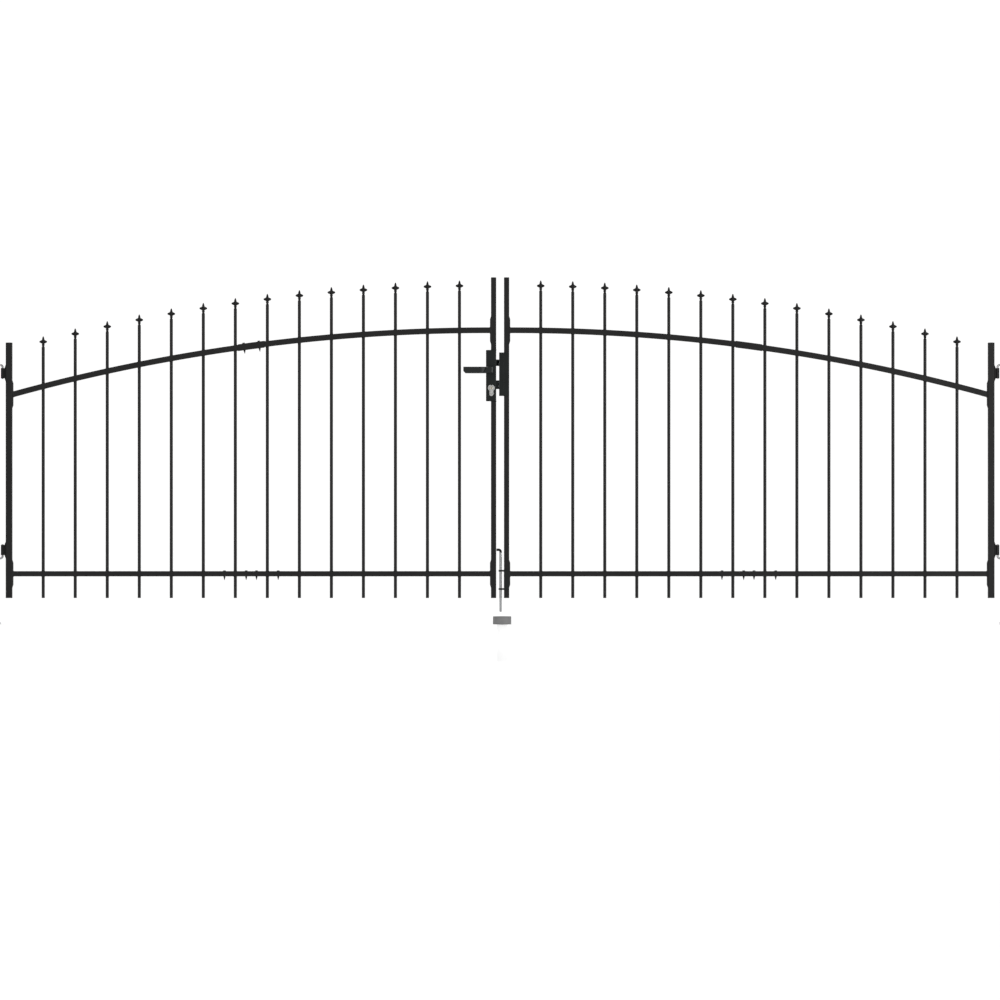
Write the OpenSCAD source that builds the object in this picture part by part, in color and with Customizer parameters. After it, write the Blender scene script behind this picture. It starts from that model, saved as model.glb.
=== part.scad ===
// Double driveway gate with an arched top: two barred leaves on two square posts,
// with pintle hinges, a lever lock, a keep, a drop bolt and a ground socket.
// Millimetres, +Z up. The origin is the middle of the left post's foot, on the ground.
// The gate's plane is y = 0, and the leaves open towards +Y.

/* [Opening and posts] */
// Clear width between the two posts
opening_w = 4040; // [3360:1:4860]
// Width of each square post
post_w = 80; // [60:5:120]
// Wall of the post tube
post_wall = 3; // [2:0.5:5]
// Height of the posts above the hinge stiles
post_rise = 106; // [60:1:300]
// Width of the base plate along the gate
base_w = 118; // [110:2:160]
// Depth of the base plate across the gate
base_depth = 170; // [160:5:240]
// Thickness of the base plate
base_t = 8; // [6:1:15]
// Distance between the anchor holes along the gate
anchor_pitch_x = 80; // [70:2:90]
// Distance between the anchor holes across the gate
anchor_pitch_y = 132; // [120:2:136]
// Diameter of the anchor holes
anchor_d = 14; // [10:1:16]
// How far the cap reaches past the post's side
cap_lip = 3; // [1:1:8]
// Height of the cap's flat edge
cap_edge_h = 10; // [4:1:20]
// Height of the cap's pyramid
cap_peak_h = 16; // [6:1:40]
// Depth of the cap's plug inside the post
cap_plug_h = 14; // [6:1:30]

/* [Leaf frame] */
// Gap between the ground and the bars
ground_gap = 105; // [60:1:130]
// Height of the stiles above the arched rail's centre line
stile_rise = 209; // [100:1:260]
// Width of the hinge stile
hinge_stile_w = 26; // [20:0.5:30]
// Width of the lock stile
lock_stile_w = 21; // [20:1:26]
// Gap between the two lock stiles
meeting_gap = 31; // [30:1:40]
// Wall of the stiles and rails
frame_wall = 1.5; // [1:0.1:2]
// Height of the bottom rail's centre above the ground
bottom_rail_z = 202; // [168:1:243]
// Width of the square bottom rail
bottom_rail_w = 21; // [18:1:25]
// Width of the square arched rail
arch_rail_w = 23; // [18:1:25]
// Radius of the arched rail's centre line
arch_r = 7145; // [6000:5:9000]
// Height of the arch's highest point above the ground
arch_top_z = 1176; // [980:1:1420]
// Distance of the arch's highest point from the gate's middle
arch_inset = 51; // [0:1:120]
// Height of the end plates between rails and stiles
plate_h = 112; // [70:1:130]
// Thickness of the end plates
plate_t = 4; // [3:0.5:8]
// Height of the slanted ends of the end plates
plate_taper = 12; // [4:1:25]
// Thickness of the stile caps
stile_cap_t = 3; // [2:0.5:5]
// Depth of the caps' plugs inside the stiles
stile_plug_h = 12; // [6:1:20]

/* [Bars and finials] */
// Number of bars in each leaf
bars = 14; // [8:2:16]
// Diameter of the bars
bar_d = 12.7; // [10:0.1:14]
// Distance from a stile's centre to the nearest bar
bar_end_gap = 136.5; // [110:0.5:160]
// Height of the bar tops above the arched rail's centre
bar_rise = 156; // [90:1:200]
// Height of a finial
finial_h = 44; // [36:1:60]
// Width of a finial across its barbs
finial_w = 31; // [24:1:40]
// Height of the barbs' diamond
barb_h = 16; // [12:1:20]
// Thickness of the barbs
barb_t = 6; // [4:0.5:8]
// Height of the barbs' middle above the bar's top
barb_z = 21; // [17:0.5:26]
// Diameter of the finial's ball
ball_d = 11.4; // [10:0.1:14]
// Height of the ball's middle above the bar's top
ball_z = 10.5; // [9:0.5:12]
// Diameter of the finial's spike where it leaves the barbs
spike_d = 10.4; // [8:0.1:11]

/* [Mid-leaf splices] */
// Length of the inner sleeve of the bottom rail
bottom_sleeve_l = 240; // [200:5:300]
// Wall of both kinds of sleeve
sleeve_wall = 1.8; // [1.5:0.1:2.2]
// Gap between the arched rail's outer sleeve and the bars
sleeve_to_bar = 4.5; // [3:0.5:10]
// Joint left between two rail halves
rail_joint = 1; // [0.5:0.5:3]
// Distance of the bottom screws from the nearest bar
screw_to_bar = 43.4; // [30:0.2:48]
// Distance of the upper screws from the splice's middle
top_screw_offset = 30.4; // [20:0.2:36]
// Diameter of the splice screws
screw_d = 4.8; // [4:0.1:6.3]
// Diameter of the screw heads
screw_head_d = 10; // [8:0.5:13]
// Height of the screw heads
screw_head_h = 3; // [2:0.5:5]
// How far the screw points stand out below the rail
screw_point = 15; // [8:1:25]

/* [Hinges] */
// Distance from the post's face to the hinge axis
axis_to_post = 30; // [30:1:50]
// Distance from the hinge axis to the hinge stile's centre
axis_to_stile = 26; // [24:1:32]
// Distance from the hinge stile's top down to the upper hinge eye's centre
upper_eye_drop = 120; // [60:1:140]
// Height of the lower hinge eye's centre above the bottom rail's centre
lower_eye_rise = 95; // [60:1:140]
// Height of a hinge eye
eye_h = 41; // [30:1:60]
// Outer diameter of a hinge eye
eye_d = 14; // [12:1:18]
// Diameter of the pintle rods
pintle_d = 8; // [6:1:10]
// Distance from the eye's end to the pintle rod's level part
pintle_rise = 13; // [12:0.5:20]
// Bend radius of the pintle rod
pintle_bend_r = 9; // [7:0.5:12]
// How far the pintle reaches through the eye
pintle_end = 3; // [0:0.5:8]
// How far the pintle reaches into the post
pintle_in_post = 16; // [10:1:30]
// Thickness of the nut on the post's face
nut_t = 7; // [5:1:8]
// Width of the nut across its flats
nut_w = 13; // [11:1:17]
// Height of the hinge web at the stile
web_h = 70; // [50:1:80]
// Thickness of the hinge web
web_t = 6; // [4:0.5:10]

/* [Lock] */
// Distance from the arch's highest point down to the lock case's centre
lock_drop = 181.5; // [165:0.5:240]
// Height of the lock case
lock_h = 205; // [185:1:230]
// Width of the lock case
lock_w = 41; // [40:1:50]
// Depth of the lock case
lock_depth = 30; // [26:1:40]
// Wall of the lock case
lock_wall = 2.5; // [2:0.1:4]
// Distance of the spindle and cylinder from the case's edge at the gap
backset = 19.5; // [18:0.5:22]
// Height of the lever spindle above the lock case's centre
spindle_rise = 22.5; // [15:0.5:30]
// Distance from the spindle down to the cylinder
lock_centres = 72; // [72:1:92]
// Diameter of the spindle
spindle_d = 8; // [7:0.5:9]
// Distance from the spindle to the lever's tip
lever_l = 112; // [95:1:125]
// Height of the lever
lever_h = 25; // [20:1:28]
// Thickness of the lever's grip
lever_t = 9; // [6:1:14]
// Distance from the case to the lever's outer face
lever_reach = 40; // [30:1:60]
// Diameter of the lever's neck
neck_d = 18; // [14:1:22]
// Size of the bevel under the lever's tip
tip_bevel = 9; // [4:1:12]
// Centre of the latch above the spindle
latch_rise = 29; // [26:1:32]
// Height of the latch
latch_h = 26; // [20:1:30]
// Centre of the deadbolt above the cylinder
dead_rise = 13; // [10:1:15]
// Height of the deadbolt
dead_h = 35; // [28:1:38]
// Thickness of the latch and of the deadbolt
bolt_t = 12; // [8:1:14]
// Travel of the latch, and of the deadbolt for each turn of the key
bolt_travel = 10.5; // [8:0.5:11]
// Gap between the two bolts' ends and the keep
bolt_to_keep = 0.9; // [0.5:0.1:1]
// Diameter of the cylinder's round part
cyl_d = 17; // [16:0.5:18]
// Width of the cylinder's leg
cyl_leg_w = 10; // [9:0.5:11]
// Height of the whole cylinder
cyl_h = 33; // [31:1:35]
// Diameter of the key plug
plug_d = 12.5; // [11:0.5:13]
// Diameter of the guard around the cylinder
guard_d = 27; // [24:0.5:30]
// Width of the guard's leg
guard_leg_w = 16; // [13:0.5:22]
// Height of the guard
guard_h = 46; // [42:1:50]
// Thickness of the guard
guard_t = 4; // [2:0.5:8]

/* [Keep] */
// Height of the keep
keep_h = 174; // [160:1:190]
// Height of the keep's centre above the lock case's centre
keep_rise = 5.5; // [0:0.5:12]
// Gap between the lock case and the keep
keep_gap = 11.5; // [11:0.5:14]
// Wall of the keep
keep_wall = 3; // [2:0.5:4]
// Clearance around the bolts in the keep's windows
window_gap = 1.5; // [1:0.25:2]

/* [Drop bolt and ground socket] */
// Diameter of the drop bolt
drop_d = 10; // [8:1:12]
// Distance of the drop bolt from the gate's middle
drop_x = 2; // [1:0.5:4]
// Height of the drop bolt's lower end when it is lifted
drop_end_z = 50; // [45:1:70]
// Height of the lifted drop bolt's handle above the upper guide lug
handle_rise = 84; // [60:1:150]
// Bend radius of the drop bolt
drop_bend_r = 8; // [7:0.5:12]
// Gap between the handle and the other lock stile
handle_gap = 1; // [0.5:0.5:4]
// Height of the upper guide lug above the bottom rail's centre
upper_lug_rise = 12; // [0:1:40]
// Distance between the two guide lugs
lug_spacing = 73; // [50:1:80]
// Thickness of the guide lugs
lug_t = 7; // [5:1:10]
// Steel around the bolt in a lug
lug_rim = 3; // [2:0.5:4]
// Thickness of the bracket's plate
bracket_t = 3; // [2:0.5:5]
// Distance of the socket's centre from the gate's middle
socket_x = 8; // [2:0.5:9]
// Outer diameter of the socket's collar
collar_d = 74; // [64:1:90]
// Height of the collar
collar_h = 32; // [20:1:40]
// Outer diameter of the socket's tube
tube_d = 43; // [42:0.5:50]
// Wall of the socket's tube
tube_wall = 2.5; // [2:0.5:4]
// Length of the tube below the ground
tube_depth = 150; // [100:5:250]

/* [Fits] */
// Clearance between welded or seated pieces
seat_gap = 0.15; // [0.05:0.05:0.3]
// Clearance between a moving round piece and its bore
run_gap = 0.1; // [0.02:0.01:0.1]
// Clearance on each side of a sliding bolt
slide_gap = 0.3; // [0.2:0.05:0.4]

/* [Hidden] */
$fn = 48;

// Size of the pyramid's flat top, as a share of the cap
cap_peak_scale = 0.15;

// Places along X, from the gate's middle. The left half has negative values.
mid_x = opening_w / 2 + post_w / 2;
post_face_x = -opening_w / 2;
axis_x = post_face_x + axis_to_post;
hinge_x = axis_x + axis_to_stile;
lock_x = -(meeting_gap + lock_stile_w) / 2;
rail_start_x = hinge_x + hinge_stile_w / 2 + plate_t;
rail_end_x = lock_x - lock_stile_w / 2 - plate_t;
splice_x = (hinge_x + lock_x) / 2;
bar_pitch = (lock_x - hinge_x - 2 * bar_end_gap) / (bars - 1);
gap_face_x = meeting_gap / 2;

// The arched rail's centre, and the arc that is drawn, a little longer than the rail
arch_centre_z = arch_top_z - arch_r;
arch_spare_deg = 4;
arch_deg = asin(-rail_start_x / arch_r) + 2 * arch_spare_deg;
arch_fn = 1440;

// Heights above the ground
hinge_top_z = arch_z(hinge_x) + stile_rise;
lock_top_z = arch_z(lock_x) + stile_rise;
post_h = hinge_top_z + post_rise;
upper_eye_z = hinge_top_z - upper_eye_drop;
lower_eye_z = bottom_rail_z + lower_eye_rise;
upper_rod_z = upper_eye_z + eye_h / 2 + pintle_rise;
lower_rod_z = lower_eye_z - eye_h / 2 - pintle_rise;
lock_z = arch_top_z - lock_drop;
keep_z = lock_z + keep_rise;
spindle_z = lock_z + spindle_rise;
cyl_z = spindle_z - lock_centres;
latch_z = spindle_z + latch_rise;
dead_z = cyl_z + dead_rise;

// The splices at mid-leaf
top_sleeve_l = bar_pitch - bar_d - 2 * sleeve_to_bar;
top_sleeve_w = arch_rail_w + 2 * seat_gap + 2 * sleeve_wall;
bottom_sleeve_w = bottom_rail_w - 2 * frame_wall - 2 * seat_gap;
screw_tip_h = 5;
screw_tip_d = 0.6;

// How far a cut runs past the face that it opens, and a size that spans the whole leaf frame
over = 1;
span = 1000;

// The finials' foot and tip
foot_t = 2;
foot_slope_h = 1.5;
neck_d_small = 9;
spike_tip_r = 0.4;

// The lock
case_x = -gap_face_x - lock_w / 2;
spindle_x = -gap_face_x - backset;
keep_x = -gap_face_x + keep_gap;
bolt_tip_x = keep_x - bolt_to_keep;
latch_bevel = 8;
latch_nose = 2;
case_y = lock_depth / 2;
cyl_stand_out = 1.5;
cyl_y = case_y + guard_t + cyl_stand_out;
tail_gap = 1.5; // room that the two bolts keep behind them
head_gap = 0.5;
key_slot_w = 2;
key_slot_h = 9;
key_slot_depth = 6;
spindle_end = 2;
bolt_tail_x = -gap_face_x - lock_w + lock_wall + bolt_travel + tail_gap;
dead_tail_z = cyl_z + cyl_d / 2 + tail_gap;
dead_head_l = bolt_tip_x - (spindle_x + cyl_d / 2) - bolt_travel - head_gap;
flange_overlap = 2;

// The drop bolt
drop_handle_z = bottom_rail_z + upper_lug_rise + handle_rise;
upper_lug_z = bottom_rail_z + upper_lug_rise;
lower_lug_z = upper_lug_z - lug_spacing;
lug_y = drop_d / 2 + lug_rim + run_gap;
plate_overlap = 0.5;
stile_front_y = -lock_stile_w / 2;
socket_bore_d = tube_d - 2 * tube_wall;

function bar_x(i) = hinge_x + bar_end_gap + i * bar_pitch;
function arch_z(x) = arch_centre_z + sqrt(pow(arch_r, 2) - pow(x + arch_inset, 2));
function arch_tilt(x) = asin((x + arch_inset) / arch_r);

// ---- Placing helpers ----

module from_middle() {
    translate([mid_x, 0, 0]) children();
}

module right_side() {
    from_middle() mirror([1, 0, 0]) children();
}

module at_arch(x) {
    translate([x, 0, arch_z(x)]) rotate([0, arch_tilt(x), 0]) children();
}

// ---- Posts ----

module square_tube(w, wall, h) {
    translate([0, 0, h / 2]) difference() {
        cube([w, w, h], center = true);
        cube([w - 2 * wall, w - 2 * wall, h + 2 * over], center = true);
    }
}

// A cap on a square tube: a plate or edge above z = 0, and a plug down inside the tube
module capped_plug(cap_w, cap_t, tube_w, wall, plug_h) {
    plug_w = tube_w - 2 * wall - 2 * seat_gap;
    translate([0, 0, cap_t / 2]) cube([cap_w, cap_w, cap_t], center = true);
    translate([0, 0, (over - plug_h) / 2]) cube([plug_w, plug_w, plug_h + over], center = true);
}

module post() {
    color("#262626") difference() {
        translate([-mid_x, 0, base_t]) square_tube(post_w, post_wall, post_h - base_t);
        for (z = [upper_rod_z, lower_rod_z])
            translate([post_face_x - post_wall / 2, 0, z]) rotate([0, 90, 0])
                cylinder(d = pintle_d + 2 * seat_gap, h = post_wall + 2 * over, center = true);
    }
}

module post_base() {
    color("#2b2b2b") translate([-mid_x, 0, base_t / 2]) difference() {
        cube([base_w, base_depth, base_t], center = true);
        for (sx = [-1, 1], sy = [-1, 1])
            translate([sx * anchor_pitch_x / 2, sy * anchor_pitch_y / 2, 0])
                cylinder(d = anchor_d, h = base_t + 2 * over, center = true);
    }
}

module post_cap() {
    cap_w = post_w + 2 * cap_lip;
    color("#262626") translate([-mid_x, 0, post_h]) {
        capped_plug(cap_w, cap_edge_h, post_w, post_wall, cap_plug_h);
        translate([0, 0, cap_edge_h]) linear_extrude(cap_peak_h, scale = cap_peak_scale)
            square(cap_w, center = true);
    }
}

// ---- Pintles: rods through the post wall, bent into the hinge eyes ----

// One bent rod. Its pin points to -Z and lies on the Z axis, and z = 0 is its level part.
module bent_pintle() {
    pin_l = pintle_rise + eye_h + pintle_end;
    rod_start_x = -axis_to_post - pintle_in_post;
    translate([0, 0, -pin_l]) cylinder(d = pintle_d, h = pin_l - pintle_bend_r);
    translate([-pintle_bend_r, 0, -pintle_bend_r]) rotate([90, 0, 0]) rotate_extrude(angle = 90)
        translate([pintle_bend_r, 0]) circle(d = pintle_d);
    translate([rod_start_x, 0, 0]) rotate([0, 90, 0])
        cylinder(d = pintle_d, h = -pintle_bend_r - rod_start_x);
    translate([-axis_to_post, 0, 0]) rotate([0, 90, 0])
        cylinder(d = nut_w / cos(30), h = nut_t, $fn = 6);
}

module pintles() {
    color("#7d7d7d") {
        translate([axis_x, 0, upper_rod_z]) bent_pintle();
        translate([axis_x, 0, lower_rod_z]) mirror([0, 0, 1]) bent_pintle();
    }
}

// ---- Leaf frame ----

module hinge_stile() {
    color("#242424") translate([hinge_x, 0, ground_gap])
        square_tube(hinge_stile_w, frame_wall, hinge_top_z - ground_gap);
}

module plain_lock_stile() {
    color("#242424") translate([lock_x, 0, ground_gap])
        square_tube(lock_stile_w, frame_wall, lock_top_z - ground_gap);
}

// The left lock stile stops at the lock case, which is welded between its two lengths.
module cut_lock_stile() {
    cut_w = lock_stile_w + 2 * over;
    color("#242424") difference() {
        plain_lock_stile();
        translate([lock_x, 0, lock_z]) cube([cut_w, cut_w, lock_h], center = true);
    }
}

module stile_caps() {
    color("#1c1c1c") {
        translate([hinge_x, 0, hinge_top_z])
            capped_plug(hinge_stile_w, stile_cap_t, hinge_stile_w, frame_wall, stile_plug_h);
        translate([lock_x, 0, lock_top_z])
            capped_plug(lock_stile_w, stile_cap_t, lock_stile_w, frame_wall, stile_plug_h);
    }
}

// A square ring around the arch's centre, as wide as the bent tube
module arch_ring(w) {
    translate([-arch_inset, 0, arch_centre_z]) rotate([90, 0, 0]) rotate([0, 0, 90 - arch_spare_deg])
        rotate_extrude(angle = arch_deg, $fn = arch_fn)
            translate([arch_r, 0]) square(w, center = true);
}

// A box from x1 to x2, tall and deep enough to cut the arched rail upright
module arch_slice(x1, x2) {
    translate([(x1 + x2) / 2, 0, arch_top_z]) cube([x2 - x1, 2 * arch_rail_w, 2 * span], center = true);
}

module bar_hole(x, z, rail_w) {
    translate([x, 0, z]) cylinder(d = bar_d + 2 * seat_gap, h = 2 * rail_w, center = true);
}

module arch_bar_holes() {
    for (i = [0:bars - 1]) bar_hole(bar_x(i), arch_z(bar_x(i)), arch_rail_w);
}

module bottom_bar_holes() {
    for (i = [0:bars - 1]) bar_hole(bar_x(i), bottom_rail_z, bottom_rail_w);
}

module top_rail() {
    color("#262626") difference() {
        intersection() {
            arch_ring(arch_rail_w);
            arch_slice(rail_start_x, rail_end_x);
        }
        arch_ring(arch_rail_w - 2 * frame_wall);
        arch_slice(splice_x - rail_joint / 2, splice_x + rail_joint / 2);
        arch_bar_holes();
        children();
    }
}

module bottom_rail() {
    rail_l = rail_end_x - rail_start_x;
    inner_w = bottom_rail_w - 2 * frame_wall;
    color("#262626") difference() {
        translate([(rail_start_x + rail_end_x) / 2, 0, bottom_rail_z]) difference() {
            cube([rail_l, bottom_rail_w, bottom_rail_w], center = true);
            cube([rail_l + 2 * over, inner_w, inner_w], center = true);
        }
        translate([splice_x, 0, bottom_rail_z])
            cube([rail_joint, 2 * bottom_rail_w, 2 * bottom_rail_w], center = true);
        bottom_bar_holes();
        bottom_screw_holes();
    }
}

module end_plate(x, z, way) {
    half_h = plate_h / 2;
    color("#202020") translate([x, 0, z]) rotate([90, 0, 0])
        linear_extrude(lock_stile_w, center = true)
            polygon([
                [0, -half_h], [way * plate_t, -half_h + plate_taper],
                [way * plate_t, half_h - plate_taper], [0, half_h]
            ]);
}

module end_plates() {
    hinge_face_x = rail_start_x - plate_t;
    lock_face_x = rail_end_x + plate_t;
    for (z = [bottom_rail_z, arch_z(rail_start_x)]) end_plate(hinge_face_x, z, 1);
    for (z = [bottom_rail_z, arch_z(rail_end_x)]) end_plate(lock_face_x, z, -1);
}

module leaf_bars() {
    color("#2a2a2a") for (i = [0:bars - 1])
        translate([bar_x(i), 0, ground_gap])
            cylinder(d = bar_d, h = arch_z(bar_x(i)) + bar_rise - ground_gap);
}

// ---- Finials: a ball, a diamond-shaped cross of barbs and a pointed spike ----

module finial() {
    ball_r = ball_d / 2;
    rotate_extrude() polygon(concat(
        [[0, 0], [bar_d / 2, 0], [bar_d / 2, foot_t], [neck_d_small / 2, foot_t + foot_slope_h]],
        [for (a = [-60:15:60]) [ball_r * cos(a), ball_z + ball_r * sin(a)]],
        [
            [spike_d / 2, barb_z], [spike_d / 2, barb_z + barb_h / 2],
            [spike_tip_r, finial_h], [0, finial_h]
        ]
    ));
    translate([0, 0, barb_z]) rotate([90, 0, 0]) linear_extrude(barb_t, center = true)
        polygon([[-finial_w / 2, 0], [0, -barb_h / 2], [finial_w / 2, 0], [0, barb_h / 2]]);
}

module finials() {
    color("#1e1e1e") for (i = [0:bars - 1])
        translate([bar_x(i), 0, arch_z(bar_x(i)) + bar_rise]) finial();
}

// ---- Splices at the middle of a leaf ----

function bottom_screw_xs() =
    [for (side = [-1, 1], way = [-1, 1]) splice_x + side * bar_pitch / 2 + way * screw_to_bar];
function top_screw_xs() = [for (side = [-1, 1]) splice_x + side * top_screw_offset];

module bottom_screw_holes() {
    for (x = bottom_screw_xs()) translate([x, 0, bottom_rail_z])
        cylinder(d = screw_d + 2 * seat_gap, h = 2 * bottom_rail_w, center = true);
}

module top_screw_holes() {
    for (x = top_screw_xs()) at_arch(x)
        cylinder(d = screw_d + 2 * seat_gap, h = 2 * top_sleeve_w, center = true);
}

module splice_sleeves() {
    inner_w = bottom_sleeve_w - 2 * sleeve_wall;
    color("#222222") {
        difference() {
            translate([splice_x, 0, bottom_rail_z]) difference() {
                cube([bottom_sleeve_l, bottom_sleeve_w, bottom_sleeve_w], center = true);
                cube([bottom_sleeve_l + 2 * over, inner_w, inner_w], center = true);
            }
            bottom_bar_holes();
            bottom_screw_holes();
        }
        difference() {
            intersection() {
                arch_ring(top_sleeve_w);
                arch_slice(splice_x - top_sleeve_l / 2, splice_x + top_sleeve_l / 2);
            }
            arch_ring(arch_rail_w + 2 * seat_gap);
            children();
        }
    }
}

// A self-drilling screw with its head on z = 0 and its point down
module splice_screw(grip) {
    shank_l = grip + screw_point - screw_tip_h;
    cylinder(d = screw_head_d, h = screw_head_h);
    translate([0, 0, -shank_l]) cylinder(d = screw_d, h = shank_l + over);
    translate([0, 0, -shank_l - screw_tip_h])
        cylinder(d1 = screw_tip_d, d2 = screw_d, h = screw_tip_h);
}

module bottom_splice_screws() {
    color("#3a3a3a") for (x = bottom_screw_xs())
        translate([x, 0, bottom_rail_z + bottom_rail_w / 2]) splice_screw(bottom_rail_w);
}

module top_splice_screws() {
    color("#3a3a3a") for (x = top_screw_xs())
        at_arch(x) translate([0, 0, top_sleeve_w / 2 + seat_gap]) splice_screw(top_sleeve_w);
}

// ---- Hinge eyes on the leaf ----

module hinge_eye() {
    web_x = axis_to_stile - hinge_stile_w / 2;
    difference() {
        union() {
            cylinder(d = eye_d, h = eye_h, center = true);
            rotate([90, 0, 0]) linear_extrude(web_t, center = true)
                polygon([
                    [0, -eye_h / 2], [eye_d / 2, -eye_h / 2], [web_x, -web_h / 2],
                    [web_x, web_h / 2], [eye_d / 2, eye_h / 2], [0, eye_h / 2]
                ]);
        }
        cylinder(d = pintle_d + 2 * run_gap, h = eye_h + 2 * over, center = true);
    }
}

module hinge_eyes() {
    color("#202020") for (z = [upper_eye_z, lower_eye_z]) translate([axis_x, 0, z]) hinge_eye();
}

// ---- Lock ----

// The outline of a profile cylinder: a round part with a leg below it
module keyhole_outline(d, leg_w, h) {
    leg_h = h - d / 2 - leg_w / 2;
    circle(d = d);
    translate([-leg_w / 2, -leg_h]) square([leg_w, leg_h]);
    translate([0, -leg_h]) circle(d = leg_w);
}

// The hole that the cylinder fits in, along Y
module cylinder_hole_outline() {
    keyhole_outline(cyl_d + 2 * seat_gap, cyl_leg_w + 2 * seat_gap, cyl_h + 2 * seat_gap);
}

module lock_case() {
    outer = [lock_w, lock_depth, lock_h];
    through = lock_depth + 2 * over;
    color("#1d2222") difference() {
        translate([case_x, 0, lock_z]) difference() {
            cube(outer, center = true);
            cube([for (side = outer) side - 2 * lock_wall], center = true);
        }
        translate([spindle_x, 0, spindle_z]) rotate([90, 0, 0])
            cylinder(d = spindle_d + 2 * run_gap, h = through, center = true);
        translate([spindle_x, 0, cyl_z]) rotate([90, 0, 0])
            linear_extrude(through, center = true) cylinder_hole_outline();
        translate([-gap_face_x, 0, latch_z])
            cube([3 * lock_wall, bolt_t + 2 * slide_gap, latch_h + 2 * slide_gap], center = true);
        translate([-gap_face_x, 0, dead_z])
            cube([3 * lock_wall, bolt_t + 2 * slide_gap, dead_h + 2 * slide_gap], center = true);
    }
}

module cylinder_guards() {
    color("#c2c2c0") for (way = [-1, 1])
        translate([spindle_x, way * (case_y + guard_t / 2), cyl_z]) rotate([90, 0, 0])
            linear_extrude(guard_t, center = true) difference() {
                keyhole_outline(guard_d, guard_leg_w, guard_h);
                cylinder_hole_outline();
            }
}

module lock_cylinder() {
    color("#cfcfcb") translate([spindle_x, 0, cyl_z]) rotate([90, 0, 0]) difference() {
        linear_extrude(2 * cyl_y, center = true) keyhole_outline(cyl_d, cyl_leg_w, cyl_h);
        cylinder(d = plug_d + 2 * run_gap, h = 2 * (cyl_y + over), center = true);
    }
}

module key_plug() {
    color("#b9b39c") translate([spindle_x, 0, cyl_z]) rotate([90, 0, 0]) difference() {
        cylinder(d = plug_d, h = 2 * cyl_y, center = true);
        for (way = [-1, 1]) translate([0, 0, way * cyl_y])
            cube([key_slot_w, key_slot_h, 2 * key_slot_depth], center = true);
    }
}

// One lever on the side that way points to, -1 for the front. The front one has the spindle.
module lever_handle(way) {
    neck_l = lever_reach - lever_t;
    grip_y = way * (case_y + lever_reach - lever_t / 2);
    tip_x = spindle_x - lever_l;
    root_x = spindle_x + neck_d / 2;
    low_z = spindle_z - lever_h / 2;
    high_z = spindle_z + lever_h / 2;
    translate([spindle_x, way * (case_y + (neck_l + slide_gap) / 2), spindle_z])
        rotate([90, 0, 0]) cylinder(d = neck_d, h = neck_l - slide_gap, center = true);
    translate([0, grip_y, 0]) rotate([90, 0, 0]) linear_extrude(lever_t, center = true)
        polygon([
            [root_x, low_z], [root_x, high_z], [tip_x, high_z],
            [tip_x, low_z + tip_bevel], [tip_x + tip_bevel, low_z]
        ]);
}

module front_lever() {
    color("#1c1e1e") {
        lever_handle(-1);
        translate([spindle_x, 0, spindle_z]) rotate([90, 0, 0])
            cylinder(d = spindle_d, h = lock_depth + 2 * spindle_end, center = true);
    }
}

module back_lever() {
    color("#1c1e1e") difference() {
        lever_handle(1);
        translate([spindle_x, 0, spindle_z]) rotate([90, 0, 0])
            cylinder(d = spindle_d + 2 * seat_gap, h = lock_depth + 2 * (spindle_end + over), center = true);
    }
}

module latch_bolt() {
    half_t = bolt_t / 2;
    color("#1b1f1f") translate([0, 0, latch_z]) linear_extrude(latch_h, center = true)
        polygon([
            [bolt_tail_x, -half_t], [bolt_tip_x - latch_bevel, -half_t],
            [bolt_tip_x, half_t - latch_nose], [bolt_tip_x, half_t], [bolt_tail_x, half_t]
        ]);
}

module dead_bolt() {
    top_z = dead_z + dead_h / 2;
    low_z = dead_z - dead_h / 2;
    color("#1b1d1d") {
        translate([bolt_tail_x, -bolt_t / 2, dead_tail_z])
            cube([bolt_tip_x - bolt_tail_x, bolt_t, top_z - dead_tail_z]);
        translate([bolt_tip_x - dead_head_l, -bolt_t / 2, low_z])
            cube([dead_head_l, bolt_t, dead_h]);
    }
}

// ---- Keep on the right leaf ----

module keep() {
    box_w = gap_face_x - keep_x;
    window_t = bolt_t + 2 * window_gap;
    inner_depth = lock_depth - 2 * keep_wall;
    inner_h = keep_h - 2 * keep_wall;
    flange_w = lock_stile_w - over + flange_overlap;
    flange_x = gap_face_x + lock_stile_w - over - flange_w / 2;
    color("#202222") {
        difference() {
            translate([keep_x, -lock_depth / 2, keep_z - keep_h / 2]) cube([box_w, lock_depth, keep_h]);
            translate([keep_x + keep_wall, -inner_depth / 2, keep_z - inner_h / 2])
                cube([box_w, inner_depth, inner_h]);
            translate([keep_x, 0, latch_z])
                cube([4 * keep_wall, window_t, latch_h + 2 * window_gap], center = true);
            translate([keep_x, 0, dead_z])
                cube([4 * keep_wall, window_t, dead_h + 2 * window_gap], center = true);
        }
        for (way = [-1, 1])
            translate([flange_x, way * (lock_stile_w + keep_wall) / 2, keep_z])
                cube([flange_w, keep_wall, keep_h], center = true);
    }
}

// ---- Drop bolt, its bracket and the ground socket ----

module drop_bolt() {
    straight_top_z = drop_handle_z - drop_bend_r;
    handle_end_x = -gap_face_x + handle_gap;
    handle_l = drop_x - drop_bend_r - handle_end_x;
    color("#b4b6b6") {
        translate([drop_x, 0, drop_end_z]) cylinder(d = drop_d, h = straight_top_z - drop_end_z);
        translate([drop_x - drop_bend_r, 0, straight_top_z]) rotate([90, 0, 0])
            rotate_extrude(angle = 90) translate([drop_bend_r, 0]) circle(d = drop_d);
        translate([handle_end_x, 0, drop_handle_z]) rotate([0, 90, 0])
            cylinder(d = drop_d, h = handle_l);
    }
}

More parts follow.
